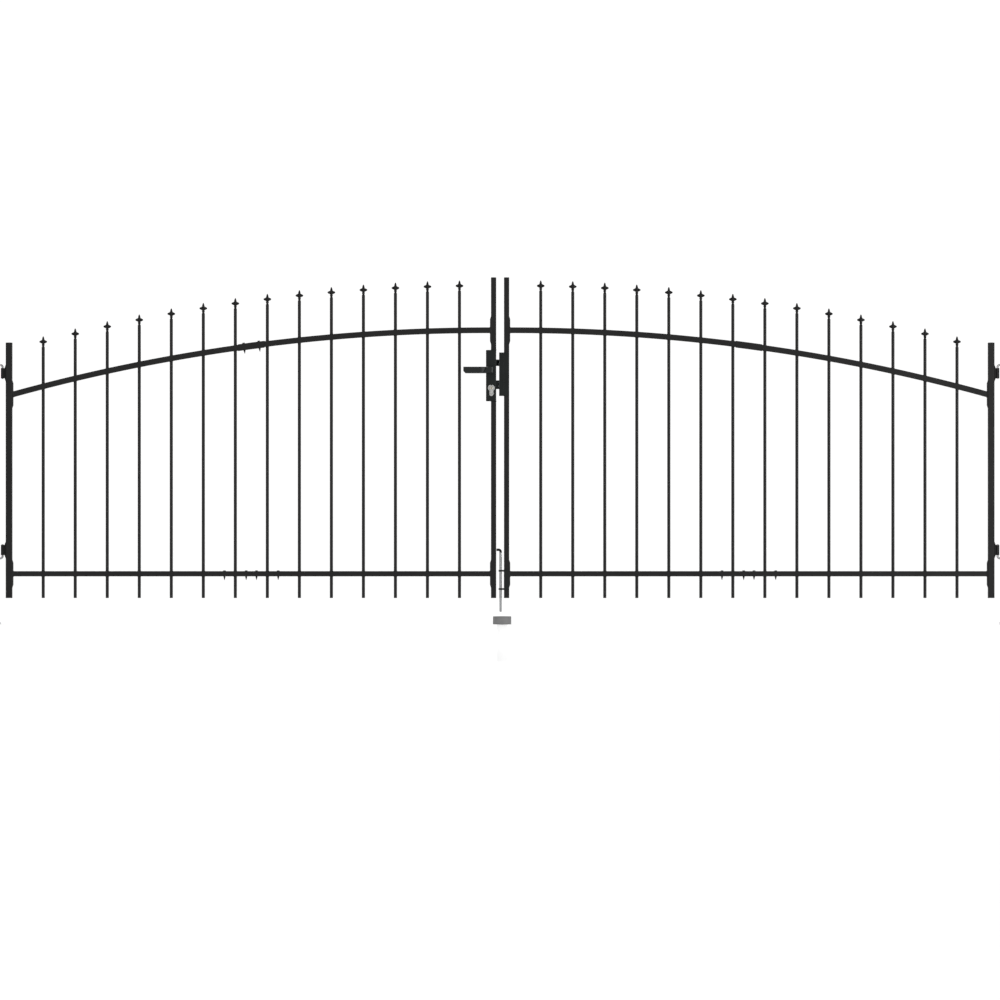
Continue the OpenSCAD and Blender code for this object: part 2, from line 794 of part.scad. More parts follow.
module bolt_bracket() {
    lug_start_x = drop_x - drop_d / 2 - run_gap - lug_rim;
    plate_low_z = lower_lug_z - lug_t / 2;
    plate_tall = upper_lug_z - lower_lug_z + lug_t;
    color("#191c1c") difference() {
        union() {
            translate([gap_face_x - plate_overlap, stile_front_y - bracket_t, plate_low_z])
                cube([lock_stile_w + plate_overlap, bracket_t, plate_tall]);
            for (z = [upper_lug_z, lower_lug_z])
                translate([lug_start_x, stile_front_y - bracket_t, z - lug_t / 2])
                    cube([gap_face_x - lug_start_x, lug_y - stile_front_y + bracket_t, lug_t]);
        }
        translate([drop_x, 0, plate_low_z - over])
            cylinder(d = drop_d + 2 * run_gap, h = plate_tall + 2 * over);
    }
}

module socket_collar() {
    color("#7a7a7a") translate([socket_x, 0, 0]) difference() {
        cylinder(d = collar_d, h = collar_h);
        translate([0, 0, -over]) cylinder(d = socket_bore_d, h = collar_h + 2 * over);
    }
}

module socket_tube() {
    tube_l = tube_depth - slide_gap;
    color("#ececec") translate([socket_x, 0, -tube_depth]) difference() {
        cylinder(d = tube_d, h = tube_l);
        translate([0, 0, -over]) cylinder(d = socket_bore_d, h = tube_l + 2 * over);
    }
}

// ---- The pieces, each in its own node ----

from_middle() post();  // left_post
from_middle() post_base();  // left_post_base
from_middle() post_cap();  // left_post_cap
from_middle() pintles();  // left_pintles
right_side() post();  // right_post
right_side() post_base();  // right_post_base
right_side() post_cap();  // right_post_cap
right_side() pintles();  // right_pintles
from_middle() hinge_stile();  // left_hinge_stile
from_middle() cut_lock_stile();  // left_lock_stile
from_middle() stile_caps();  // left_stile_caps
from_middle() top_rail() top_screw_holes();  // left_top_rail
from_middle() bottom_rail();  // left_bottom_rail
from_middle() end_plates();  // left_end_plates
from_middle() splice_sleeves() top_screw_holes();  // left_splice_sleeves
from_middle() {  // left_splice_screws
    bottom_splice_screws();
    top_splice_screws();
}
from_middle() leaf_bars();  // left_bars
from_middle() finials();  // left_finials
from_middle() hinge_eyes();  // left_hinge_eyes
right_side() hinge_stile();  // right_hinge_stile
right_side() plain_lock_stile();  // right_lock_stile
right_side() stile_caps();  // right_stile_caps
right_side() top_rail();  // right_top_rail
right_side() bottom_rail();  // right_bottom_rail
right_side() end_plates();  // right_end_plates
right_side() splice_sleeves();  // right_splice_sleeves
right_side() bottom_splice_screws();  // right_splice_screws
right_side() leaf_bars();  // right_bars
right_side() finials();  // right_finials
right_side() hinge_eyes();  // right_hinge_eyes
from_middle() lock_case();
from_middle() cylinder_guards();
from_middle() lock_cylinder();
from_middle() key_plug();
from_middle() front_lever();
from_middle() back_lever();
from_middle() latch_bolt();
from_middle() dead_bolt();
from_middle() keep();
from_middle() bolt_bracket();
from_middle() drop_bolt();
from_middle() socket_collar();
from_middle() socket_tube();
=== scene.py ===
import math
import random

import bmesh
import bpy
from mathutils import Matrix, Vector


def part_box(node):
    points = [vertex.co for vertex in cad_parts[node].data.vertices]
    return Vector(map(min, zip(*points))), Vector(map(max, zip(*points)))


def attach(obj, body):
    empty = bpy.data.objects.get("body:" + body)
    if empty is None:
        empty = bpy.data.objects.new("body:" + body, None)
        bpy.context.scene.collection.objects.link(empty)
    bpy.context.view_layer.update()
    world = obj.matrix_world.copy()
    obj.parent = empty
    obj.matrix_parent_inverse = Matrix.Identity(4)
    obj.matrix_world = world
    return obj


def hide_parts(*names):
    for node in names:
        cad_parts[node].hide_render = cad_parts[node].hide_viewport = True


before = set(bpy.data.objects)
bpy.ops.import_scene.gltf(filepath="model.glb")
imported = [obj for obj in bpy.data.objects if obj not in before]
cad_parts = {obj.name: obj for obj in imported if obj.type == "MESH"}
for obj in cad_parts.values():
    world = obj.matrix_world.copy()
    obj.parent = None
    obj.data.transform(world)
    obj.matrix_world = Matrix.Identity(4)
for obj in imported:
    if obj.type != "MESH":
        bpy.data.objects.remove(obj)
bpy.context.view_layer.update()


# ---- Post base plates ----
# A thick steel plate under each post, cut with rounded corners and drilled for four ground anchors.
# The post stands in its middle and is welded to it all round, and both are powder-coated black.

MM = 0.001
gate_mid_x = (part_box("left_post")[0].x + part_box("right_post")[1].x) / 2
base_corner = 8 * MM
base_edge = 0.8 * MM
anchor_pitch_x, anchor_pitch_y = 80 * MM, 132 * MM
anchor_hole_r = 7 * MM
side_trim = 2.5 * MM


def at(x, y, z):
    return Matrix.Translation((x, y, z))


def turn(axis, degrees):
    return Matrix.Rotation(math.radians(degrees), 4, axis)


def rounded_outline(width, depth, corner, steps=5):
    """Points round a rectangle with rounded corners, anticlockwise."""
    points = []
    for quarter, (side_x, side_y) in enumerate(((1, 1), (-1, 1), (-1, -1), (1, -1))):
        for step in range(steps + 1):
            angle = math.radians(90 * (quarter + step / steps))
            points.append(
                (
                    side_x * (width / 2 - corner) + corner * math.cos(angle),
                    side_y * (depth / 2 - corner) + corner * math.sin(angle),
                )
            )
    return points


def round_outline(radius, count=32, x=0.0, y=0.0):
    """Points round a circle, anticlockwise."""
    angles = [2 * math.pi * step / count for step in range(count)]
    return [(x + radius * math.cos(a), y + radius * math.sin(a)) for a in angles]


def placed(part, matrix):
    """The same points and faces, moved."""
    return [matrix @ Vector(point) for point in part[0]], part[1]


def cut_plate(outlines, thickness, edge):
    """A plate cut to the first outline, with the other outlines as its holes, and its edges eased."""
    curve = bpy.data.curves.new("cut", "CURVE")
    curve.dimensions, curve.fill_mode = "2D", "BOTH"
    curve.extrude, curve.bevel_depth, curve.offset = thickness / 2 - edge, edge, -edge
    curve.bevel_resolution = 2
    for outline in outlines:
        spline = curve.splines.new("POLY")
        spline.points.add(len(outline) - 1)
        spline.use_cyclic_u = True
        for point, (x, y) in zip(spline.points, outline):
            point.co = (x, y, 0, 1)
    blank = bpy.data.objects.new("cut", curve)
    mesh = bpy.data.meshes.new_from_object(blank)
    shape = bmesh.new()
    shape.from_mesh(mesh)
    bmesh.ops.remove_doubles(shape, verts=shape.verts, dist=0.002 * MM)
    shape.verts.index_update()
    part = (
        [v.co.copy() for v in shape.verts],
        [[v.index for v in f.verts] for f in shape.faces],
    )
    shape.free()
    bpy.data.objects.remove(blank)
    bpy.data.curves.remove(curve)
    bpy.data.meshes.remove(mesh)
    return part


def make_piece(name, parts, finish, body, stands_for=(), mirrored=False):
    """One piece of the gate from its parts. A mirrored piece belongs to the right half."""
    shape = bmesh.new()
    for points, faces in parts:
        verts = []
        for point in points:
            point = Vector(point)
            if mirrored:
                point.x = 2 * gate_mid_x - point.x
            verts.append(shape.verts.new(point))
        for face in faces:
            shape.faces.new([verts[i] for i in face])
    bmesh.ops.recalc_face_normals(shape, faces=shape.faces)
    mesh = bpy.data.meshes.new(name)
    shape.to_mesh(mesh)
    shape.free()
    mesh.polygons.foreach_set("use_smooth", [True] * len(mesh.polygons))
    mesh.set_sharp_from_angle(angle=math.radians(38))
    mesh.materials.append(finish)
    piece = bpy.data.objects.new(name, mesh)
    bpy.context.scene.collection.objects.link(piece)
    flat_faces_lead = piece.modifiers.new("flat_faces_lead", "WEIGHTED_NORMAL")
    flat_faces_lead.keep_sharp = True
    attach(piece, body)
    if stands_for:
        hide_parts(*stands_for)
    return piece


def add_node(tree, kind, inputs=None, **settings):
    """A shader node with its settings, and its inputs filled with values or linked sockets."""
    node = tree.nodes.new(kind)
    for key, value in settings.items():
        setattr(node, key, value)
    for key, value in (inputs or {}).items():
        if isinstance(value, bpy.types.NodeSocket):
            tree.links.new(value, node.inputs[key])
        else:
            node.inputs[key].default_value = value
    return node


def start_group(name, inputs, outputs):
    """An empty shader node group with its sockets, and its two end nodes."""
    tree = bpy.data.node_groups.new(name, "ShaderNodeTree")
    for socket, kind, value in inputs:
        made = tree.interface.new_socket(socket, in_out="INPUT", socket_type=kind)
        made.default_value = value
    for socket, kind in outputs:
        tree.interface.new_socket(socket, in_out="OUTPUT", socket_type=kind)
    return tree, tree.nodes.new("NodeGroupInput"), tree.nodes.new("NodeGroupOutput")


COLOUR, VALUE = "NodeSocketColor", "NodeSocketFloat"

# Sprayed skin: the orange peel of baked powder, soft clouds in its gloss, and dust on what faces up
sprayed_skin, coat_in, coat_out = start_group(
    "sprayed_skin",
    [
        ("Colour", COLOUR, (0.01, 0.01, 0.01, 1)),
        ("Dust colour", COLOUR, (0.05, 0.05, 0.048, 1)),
        ("Dust", VALUE, 0.3),
        ("Roughness", VALUE, 0.45),
        ("Peel scale", VALUE, 520.0),
    ],
    [("Colour", COLOUR), ("Roughness", VALUE), ("Height", VALUE)],
)
place = add_node(sprayed_skin, "ShaderNodeTexCoord")
peel = add_node(
    sprayed_skin,
    "ShaderNodeTexNoise",
    {"Vector": place.outputs["Object"], "Scale": coat_in.outputs["Peel scale"], "Detail": 1.5},
)
clouds = add_node(
    sprayed_skin,
    "ShaderNodeTexNoise",
    {"Vector": place.outputs["Object"], "Scale": 14.0, "Detail": 5.0, "Roughness": 0.6},
)
specks = add_node(
    sprayed_skin,
    "ShaderNodeTexNoise",
    {"Vector": place.outputs["Object"], "Scale": 160.0, "Detail": 3.0},
)
shape_facts = add_node(sprayed_skin, "ShaderNodeNewGeometry")
facing = add_node(sprayed_skin, "ShaderNodeSeparateXYZ", {"Vector": shape_facts.outputs["Normal"]})
upward = add_node(
    sprayed_skin,
    "ShaderNodeMapRange",
    {"Value": facing.outputs["Z"], "From Min": 0.55, "From Max": 1.0},
)
patchy = add_node(
    sprayed_skin,
    "ShaderNodeMapRange",
    {"Value": specks.outputs["Fac"], "From Min": 0.35, "From Max": 0.7},
)
settled = add_node(
    sprayed_skin,
    "ShaderNodeMath",
    {0: upward.outputs["Result"], 1: patchy.outputs["Result"]},
    operation="MULTIPLY",
)
dust_share = add_node(
    sprayed_skin,
    "ShaderNodeMath",
    {0: settled.outputs["Value"], 1: coat_in.outputs["Dust"]},
    operation="MULTIPLY",
)
depth_of_colour = add_node(
    sprayed_skin,
    "ShaderNodeMapRange",
    {"Value": clouds.outputs["Fac"], "From Min": 0.3, "From Max": 0.7, "To Min": 0.82, "To Max": 1.18},
)
clouded = add_node(
    sprayed_skin,
    "ShaderNodeVectorMath",
    {0: coat_in.outputs["Colour"], 1: depth_of_colour.outputs["Result"]},
    operation="MULTIPLY",
)
dusted = add_node(
    sprayed_skin,
    "ShaderNodeMix",
    {
        "Factor": dust_share.outputs["Value"],
        6: clouded.outputs["Vector"],
        7: coat_in.outputs["Dust colour"],
    },
    data_type="RGBA",
)
gloss_change = add_node(
    sprayed_skin,
    "ShaderNodeMapRange",
    {"Value": clouds.outputs["Fac"], "From Min": 0.3, "From Max": 0.7, "To Min": -0.06, "To Max": 0.06},
)
gloss = add_node(
    sprayed_skin,
    "ShaderNodeMath",
    {0: coat_in.outputs["Roughness"], 1: gloss_change.outputs["Result"]},
    operation="ADD",
)
sprayed_skin.links.new(dusted.outputs[2], coat_out.inputs["Colour"])
sprayed_skin.links.new(gloss.outputs["Value"], coat_out.inputs["Roughness"])
sprayed_skin.links.new(peel.outputs["Fac"], coat_out.inputs["Height"])


def make_finish(name, skin, looks, relief, surface):
    """A finish: a skin group that varies over the surface, and the shader's own fixed values."""
    material = bpy.data.materials.new(name)
    material.use_nodes = True
    tree = material.node_tree
    shader = tree.nodes["Principled BSDF"]
    look = add_node(tree, "ShaderNodeGroup", node_tree=skin)
    for key, value in looks.items():
        look.inputs[key].default_value = value
    bump = add_node(
        tree, "ShaderNodeBump", {"Height": look.outputs["Height"], "Distance": relief, "Strength": 0.6}
    )
    tree.links.new(look.outputs["Colour"], shader.inputs["Base Color"])
    tree.links.new(look.outputs["Roughness"], shader.inputs["Roughness"])
    tree.links.new(bump.outputs["Normal"], shader.inputs["Normal"])
    for key, value in surface.items():
        shader.inputs[key].default_value = value
    return material


powder_coat = make_finish(
    "black_powder_coat",
    sprayed_skin,
    {
        "Colour": (0.0058, 0.0057, 0.0057, 1),
        "Roughness": 0.42,
        "Dust": 0.3,
        "Dust colour": (0.03, 0.03, 0.029, 1),
    },
    0.12 * MM,
    {"Specular IOR Level": 0.17},
)

for side in ("left", "right"):
    low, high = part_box(f"{side}_post_base")
    plate = cut_plate(
        [rounded_outline(high.x - low.x - 2 * side_trim, high.y - low.y, base_corner)]
        + [
            round_outline(anchor_hole_r, 28, sx * anchor_pitch_x / 2, sy * anchor_pitch_y / 2)
            for sx in (-1, 1)
            for sy in (-1, 1)
        ],
        high.z - low.z,
        base_edge,
    )
    make_piece(
        f"{side}_base_plate",
        [placed(plate, at((low.x + high.x) / 2, 0, (low.z + high.z) / 2))],
        powder_coat,
        "posts",
        [f"{side}_post_base"],
    )


# ---- Posts ----
# Each post is cold-rolled square tube with rounded corners, closed below by its base plate and above
# by its cap. A fillet weld runs round its foot, and two holes in its inner face take the pintle rods.

post_corner = 7 * MM
post_wall = 3 * MM
foot_weld = 3.4 * MM
foot_weld_step = 2.2 * MM


def ring_at(matrix, outline):
    return [matrix @ Vector((a, b, 0)) for a, b in outline]


def lofted(rings, loop=False):
    """A skin through rings with the same number of points. A loop joins the last to the first."""
    count = len(rings[0])
    points = [point for ring in rings for point in ring]
    faces = []
    for this in range(len(rings) if loop else len(rings) - 1):
        a, b = this * count, (this + 1) % len(rings) * count
        faces += [(a + i, a + (i + 1) % count, b + (i + 1) % count, b + i) for i in range(count)]
    if not loop:
        faces += [tuple(range(count)), tuple(range(len(points) - count, len(points)))]
    return points, faces


def square_tube(box, corner, wall):
    """An upright tube that fills the box, open at both ends."""
    low, high = box
    width, middle = high.x - low.x, (low + high) / 2
    outer = rounded_outline(width, high.y - low.y, corner)
    inner = rounded_outline(width - 2 * wall, high.y - low.y - 2 * wall, corner - 0.6 * wall)
    bottom, top = at(middle.x, middle.y, low.z), at(middle.x, middle.y, high.z)
    rings = [ring_at(bottom, outer), ring_at(top, outer), ring_at(top, inner), ring_at(bottom, inner)]
    return lofted(rings, loop=True)


def weld_bead(path, size, seed, closed=False, around=6):
    """A bead along a path, with the ripples that a torch leaves as it is moved on."""
    drift = random.Random(seed)
    path = [Vector(point) for point in path]
    last = len(path) - 1
    rings = []
    for i, point in enumerate(path):
        ahead = path[(i + 1) % len(path)] if closed or i < last else point
        behind = path[i - 1] if closed or i > 0 else point
        along = (ahead - behind).normalized()
        across = along.cross(Vector((0.31, 0.53, 0.79))).normalized()
        over = along.cross(across)
        reach = size * ((1.08 if i % 2 else 0.86) + drift.uniform(-0.07, 0.07))
        if not closed and i in (0, last):
            reach *= 0.35
        turns = [2 * math.pi * k / around for k in range(around)]
        rings.append([point + reach * (math.cos(t) * across + math.sin(t) * over) for t in turns])
    return lofted(rings, loop=closed)


def stepped(start, end, spacing):
    """Points from start to end, about one spacing apart."""
    start, end = Vector(start), Vector(end)
    count = max(2, round((end - start).length / spacing))
    return [start.lerp(end, i / count) for i in range(count + 1)]


def path_round(ring, spacing, shortest=0.3):
    """A closed path round a ring, its points about one spacing apart, without its shortest sides."""
    path = []
    for this, following in zip(ring, ring[1:] + ring[:1]):
        if (following - this).length > spacing * shortest:
            path += stepped(this, following, spacing)[:-1]
    return path


for seed, side in enumerate(("left", "right")):
    low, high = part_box(f"{side}_post")
    make_piece(
        f"{side}_post_tube",
        [square_tube((low, high), post_corner, post_wall)],
        powder_coat,
        "posts",
        [f"{side}_post"],
    )
    foot = ring_at(
        at((low.x + high.x) / 2, 0, low.z + 0.6 * MM),
        rounded_outline(high.x - low.x + MM, high.y - low.y + MM, post_corner),
    )
    make_piece(
        f"{side}_post_foot_weld",
        [weld_bead(path_round(foot, foot_weld_step), foot_weld, seed, closed=True, around=8)],
        powder_coat,
        "posts",
    )


# ---- Post caps ----
# A black moulded plastic cap on each post: a low pyramid with a soft ridge, over a square skirt that
# overhangs the tube. It is tapped into the tube's open end and held by its ribbed plug.

cap_skirt_h = 10 * MM
cap_plug_h = 14 * MM
cap_plug_gap = 0.3 * MM
cap_corner = 8 * MM
cap_plug_corner = 3 * MM

# Moulded skin: fine mould grain, a faint flow mottle, and light scuffs
moulded_skin, mould_in, mould_out = start_group(
    "moulded_skin",
    [
        ("Colour", COLOUR, (0.01, 0.01, 0.01, 1)),
        ("Scuff colour", COLOUR, (0.03, 0.03, 0.03, 1)),
        ("Roughness", VALUE, 0.5),
        ("Grain scale", VALUE, 1400.0),
    ],
    [("Colour", COLOUR), ("Roughness", VALUE), ("Height", VALUE)],
)
place = add_node(moulded_skin, "ShaderNodeTexCoord")
grain = add_node(
    moulded_skin,
    "ShaderNodeTexVoronoi",
    {"Vector": place.outputs["Object"], "Scale": mould_in.outputs["Grain scale"]},
)
flow = add_node(
    moulded_skin,
    "ShaderNodeTexNoise",
    {"Vector": place.outputs["Object"], "Scale": 45.0, "Detail": 4.0, "Distortion": 1.2},
)
scuffs = add_node(
    moulded_skin,
    "ShaderNodeMapRange",
    {"Value": flow.outputs["Fac"], "From Min": 0.52, "From Max": 0.75, "To Max": 0.5},
)
mottled = add_node(
    moulded_skin,
    "ShaderNodeMix",
    {
        "Factor": scuffs.outputs["Result"],
        6: mould_in.outputs["Colour"],
        7: mould_in.outputs["Scuff colour"],
    },
    data_type="RGBA",
)
rubbed = add_node(
    moulded_skin,
    "ShaderNodeMath",
    {0: scuffs.outputs["Result"], 1: 0.16, 2: mould_in.outputs["Roughness"]},
    operation="MULTIPLY_ADD",
)
moulded_skin.links.new(mottled.outputs[2], mould_out.inputs["Colour"])
moulded_skin.links.new(rubbed.outputs["Value"], mould_out.inputs["Roughness"])
moulded_skin.links.new(grain.outputs["Distance"], mould_out.inputs["Height"])

black_plastic = make_finish(
    "black_plastic",
    moulded_skin,
    {"Colour": (0.005, 0.005, 0.0052, 1), "Scuff colour": (0.011, 0.011, 0.011, 1), "Roughness": 0.5},
    0.05 * MM,
    {"Specular IOR Level": 0.15},
)

for side in ("left", "right"):
    low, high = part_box(f"{side}_post_cap")
    tube_low, tube_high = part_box(f"{side}_post")
    width, rim_z = high.x - low.x, tube_high.z
    plug_w = tube_high.x - tube_low.x - 2 * post_wall - cap_plug_gap
    roof = high.z - rim_z - cap_skirt_h
    profile = [
        (plug_w - 2 * MM, -cap_plug_h, cap_plug_corner),
        (plug_w, -cap_plug_h + 1.5 * MM, cap_plug_corner),
        (plug_w, 0, cap_plug_corner),
        (width - 1.2 * MM, 0, cap_corner),
        (width, 0.6 * MM, cap_corner),
        (width, cap_skirt_h - 1.4 * MM, cap_corner),
        (width - 0.8 * MM, cap_skirt_h - 0.4 * MM, cap_corner),
        (width - 2.6 * MM, cap_skirt_h, cap_corner),
        (width - 6 * MM, cap_skirt_h + 0.3 * MM, cap_corner - MM),
    ]
    for share in (0.1, 0.25, 0.45, 0.65, 0.82, 0.93, 0.98, 1.0):
        rise = roof * (1 - (1 - share) ** 1.12) * 0.98
        narrow = (width - 7 * MM) * (1 - share) + 3.4 * MM * share
        profile.append((narrow, cap_skirt_h + 0.3 * MM + rise, min(cap_corner - MM, narrow * 0.3)))
    centre_x = (low.x + high.x) / 2
    rings = [
        ring_at(at(centre_x, 0, rim_z + z), rounded_outline(w, w, corner)) for w, z, corner in profile
    ]
    make_piece(
        f"{side}_post_cap_moulding",
        [lofted(rings)],
        black_plastic,
        "posts",
        [f"{side}_post_cap"],
    )


# ---- Pintles ----
# Two zinc-plated rods hold each leaf. Each is threaded, passes through the post's wall, is locked by
# a nut and washer on the post's face, and is bent down or up into the hinge eye, which turns on it.

rod_r = 4 * MM
rod_bend_r = 9 * MM
rod_back = 46 * MM
rod_end = 3 * MM
rod_rise = 13 * MM
thread_end = 14 * MM
thread_pitch = 1.25 * MM
thread_depth = 0.55 * MM
nut_from, nut_to = 28.4 * MM, 23 * MM
nut_across = 13 * MM
washer_r = 7.6 * MM
washer_from = 30 * MM
washer_t = 1.5 * MM
eye_r = 7 * MM
eye_h = 41 * MM

# Metal skin: spangle or brushing, fine scratches along one way, and duller patches
metal_skin, metal_in, metal_out = start_group(
    "metal_skin",
    [
        ("Colour", COLOUR, (0.5, 0.5, 0.5, 1)),
        ("Dull colour", COLOUR, (0.3, 0.3, 0.3, 1)),
        ("Roughness", VALUE, 0.3),
        ("Spangle scale", VALUE, 260.0),
        ("Brushing", VALUE, 1.0),
    ],
    [("Colour", COLOUR), ("Roughness", VALUE), ("Height", VALUE)],
)
place = add_node(metal_skin, "ShaderNodeTexCoord")
stretch = add_node(
    metal_skin,
    "ShaderNodeVectorMath",
    {0: place.outputs["Object"], 1: (900.0, 900.0, 60.0)},
    operation="MULTIPLY",
)
scratches = add_node(
    metal_skin, "ShaderNodeTexNoise", {"Vector": stretch.outputs["Vector"], "Scale": 1.0, "Detail": 3.0}
)
spangle = add_node(
    metal_skin,
    "ShaderNodeTexVoronoi",
    {"Vector": place.outputs["Object"], "Scale": metal_in.outputs["Spangle scale"]},
)
stains = add_node(
    metal_skin,
    "ShaderNodeTexNoise",
    {"Vector": place.outputs["Object"], "Scale": 70.0, "Detail": 4.0},
)
bright = add_node(metal_skin, "ShaderNodeSeparateColor", {"Color": spangle.outputs["Color"]})
dull_share = add_node(
    metal_skin,
    "ShaderNodeMath",
    {0: bright.outputs["Red"], 1: stains.outputs["Fac"]},
    operation="MULTIPLY",
)
toned = add_node(
    metal_skin,
    "ShaderNodeMix",
    {
        "Factor": dull_share.outputs["Value"],
        6: metal_in.outputs["Colour"],
        7: metal_in.outputs["Dull colour"],
    },
    data_type="RGBA",
)
uneven = add_node(
    metal_skin,
    "ShaderNodeMath",
    {0: dull_share.outputs["Value"], 1: 0.22, 2: metal_in.outputs["Roughness"]},
    operation="MULTIPLY_ADD",
)
brushed = add_node(
    metal_skin,
    "ShaderNodeMath",
    {0: scratches.outputs["Fac"], 1: metal_in.outputs["Brushing"]},
    operation="MULTIPLY",
)
metal_skin.links.new(toned.outputs[2], metal_out.inputs["Colour"])
metal_skin.links.new(uneven.outputs["Value"], metal_out.inputs["Roughness"])
metal_skin.links.new(brushed.outputs["Value"], metal_out.inputs["Height"])

zinc_plate = make_finish(
    "zinc_plate",
    metal_skin,
    {
        "Colour": (0.36, 0.36, 0.36, 1),
        "Dull colour": (0.2, 0.2, 0.2, 1),
        "Roughness": 0.32,
        "Brushing": 0.7,
    },
    0.03 * MM,
    {"Metallic": 1.0},
)


def loose_boxes(node):
    """The box of each separate solid in a CAD node, from left to right and from low to high."""
    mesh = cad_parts[node].data
    keys = [tuple(round(c, 6) for c in v.co) for v in mesh.vertices]
    leader = {key: key for key in keys}

    def top(key):
        while leader[key] != key:
            leader[key] = leader[leader[key]]
            key = leader[key]
        return key

    for polygon in mesh.polygons:
        corners = [keys[i] for i in polygon.vertices]
        for other in corners[1:]:
            leader[top(other)] = top(corners[0])
    groups = {}
    for key in leader:
        groups.setdefault(top(key), []).append(key)
    boxes = [
        (Vector(map(min, zip(*group))), Vector(map(max, zip(*group)))) for group in groups.values()
    ]
    return sorted(boxes, key=lambda box: (round(box[0].x, 3), round(box[0].z, 3)))


def bent_rod(path, radii, count=20, thread=None):
    """A round rod along a path in the XZ plane. A thread has a start, an end, a pitch and a depth."""
    rings, run = [], 0.0
    for i, (x, z) in enumerate(path):
        ahead, behind = path[min(i + 1, len(path) - 1)], path[max(i - 1, 0)]
        along = Vector((ahead[0] - behind[0], 0, ahead[1] - behind[1])).normalized()
        across = Vector((0, 1, 0)).cross(along)
        run += math.dist(path[i], path[i - 1]) if i else 0.0
        ring = []
        for step in range(count):
            angle = 2 * math.pi * step / count
            reach = radii[i]
            if thread and thread[0] <= run <= thread[1]:
                phase = (run / thread[2] - step / count) % 1
                reach -= thread[3] * abs(2 * phase - 1)
            offset = math.cos(angle) * across + math.sin(angle) * Vector((0, 1, 0))
            ring.append(Vector((x, 0, z)) + reach * offset)
        rings.append(ring)
    return lofted(rings)


def hex_outline(across_flats, per_side=4):
    """Points round a hexagon, starting at a corner."""
    corners = [
        (across_flats / math.sqrt(3) * math.cos(a), across_flats / math.sqrt(3) * math.sin(a))
        for a in [math.pi / 3 * k for k in range(7)]
    ]
    return [
        (x1 + (x2 - x1) * k / per_side, y1 + (y2 - y1) * k / per_side)
        for (x1, y1), (x2, y2) in zip(corners, corners[1:])
        for k in range(per_side)
    ]


def hex_nut(across_flats, height, bore_r):
    """A nut with its corners chamfered at both faces, from z = 0 up."""
    flats = hex_outline(across_flats)

    def trimmed(reach):
        shares = [min(1, reach / math.hypot(x, y)) for x, y in flats]
        return [(x * share, y * share) for (x, y), share in zip(flats, shares)]

    bore = [(bore_r * x / math.hypot(x, y), bore_r * y / math.hypot(x, y)) for x, y in flats]
    face_r, full_r, ease = across_flats * 0.48, across_flats, across_flats * 0.07
    rings = [
        ring_at(at(0, 0, 0), trimmed(face_r)),
        ring_at(at(0, 0, ease), trimmed(across_flats * 0.54)),
        ring_at(at(0, 0, ease * 1.5), trimmed(full_r)),
        ring_at(at(0, 0, height - ease * 1.5), trimmed(full_r)),
        ring_at(at(0, 0, height - ease), trimmed(across_flats * 0.54)),
        ring_at(at(0, 0, height), trimmed(face_r)),
        ring_at(at(0, 0, height), bore),
        ring_at(at(0, 0, 0), bore),
    ]
    return lofted(rings, loop=True)


def turned(profile, count=32):
    """The rings of a turned shape, from its (radius, height) profile."""
    return [ring_at(at(0, 0, z), round_outline(r, count)) for r, z in profile]


left_eyes = sorted(loose_boxes("left_hinge_eyes"), key=lambda box: box[0].z)
hinge_axis_x = left_eyes[0][0].x + eye_r
along_x = turn("Y", 90)
for side in ("left", "right"):
    parts = []
    for (low, high), way in zip(left_eyes, (1, -1)):
        eye_z = (low.z + high.z) / 2
        level_z = eye_z - way * (eye_h / 2 + rod_rise)
        path, radii = [], []
        for i in range(int((rod_back - thread_end) / (thread_pitch / 4))):
            path.append((-rod_back + i * thread_pitch / 4, 0.0))
            radii.append(rod_r)
        for step in range(13):
            angle = math.radians(90 * step / 12)
            rise = rod_bend_r * (1 - math.cos(angle))
            path.append((-rod_bend_r + rod_bend_r * math.sin(angle), way * rise))
            radii.append(rod_r)
        pin_l = rod_rise + eye_h + rod_end
        for reach, radius in ((pin_l - 0.8 * MM, rod_r), (pin_l, rod_r - 0.8 * MM)):
            path.append((0.0, way * reach))
            radii.append(radius)
        radii[0] = rod_r - 0.8 * MM
        rod = bent_rod(
            path, radii, thread=(0.5 * MM, rod_back - thread_end - MM, thread_pitch, thread_depth)
        )
        nut = hex_nut(nut_across, nut_from - nut_to, rod_r)
        washer = [
            (rod_r, 0),
            (washer_r - 0.2 * MM, 0),
            (washer_r, 0.2 * MM),
            (washer_r, washer_t - 0.3 * MM),
            (washer_r - 0.3 * MM, washer_t),
            (rod_r, washer_t),
        ]
        corner = at(hinge_axis_x, 0, level_z)
        washer_place = corner @ at(-washer_from, 0, 0) @ along_x
        parts.append(placed(rod, corner))
        parts.append(placed(nut, corner @ at(-nut_from, 0, 0) @ along_x))
        parts.append(placed(lofted(turned(washer), loop=True), washer_place))
    make_piece(
        f"{side}_pintle_rods",
        parts,
        zinc_plate,
        "posts",
        [f"{side}_pintles"],
        mirrored=side == "right",
    )


# ---- Stiles ----
# The uprights at the two sides of each leaf are thin square tube. The left lock stile is in two
# lengths, with the lock case welded between them, and the others run through in one.

stile_corner = 2.6 * MM
stile_wall = 1.5 * MM

for side in ("left", "right"):
    for place_name in ("hinge", "lock"):
        node = f"{side}_{place_name}_stile"
        make_piece(
            f"{node}_tube",
            [square_tube(box, stile_corner, stile_wall) for box in loose_boxes(node)],
            powder_coat,
            f"{side}_leaf",
            [node],
        )


# ---- Stile caps ----
# A small black plastic cap closes the top of each stile against rain. It has a slightly crowned top
# with soft edges, and a plug below that grips inside the tube.

stile_cap_t = 3 * MM
stile_plug_less = 3.3 * MM

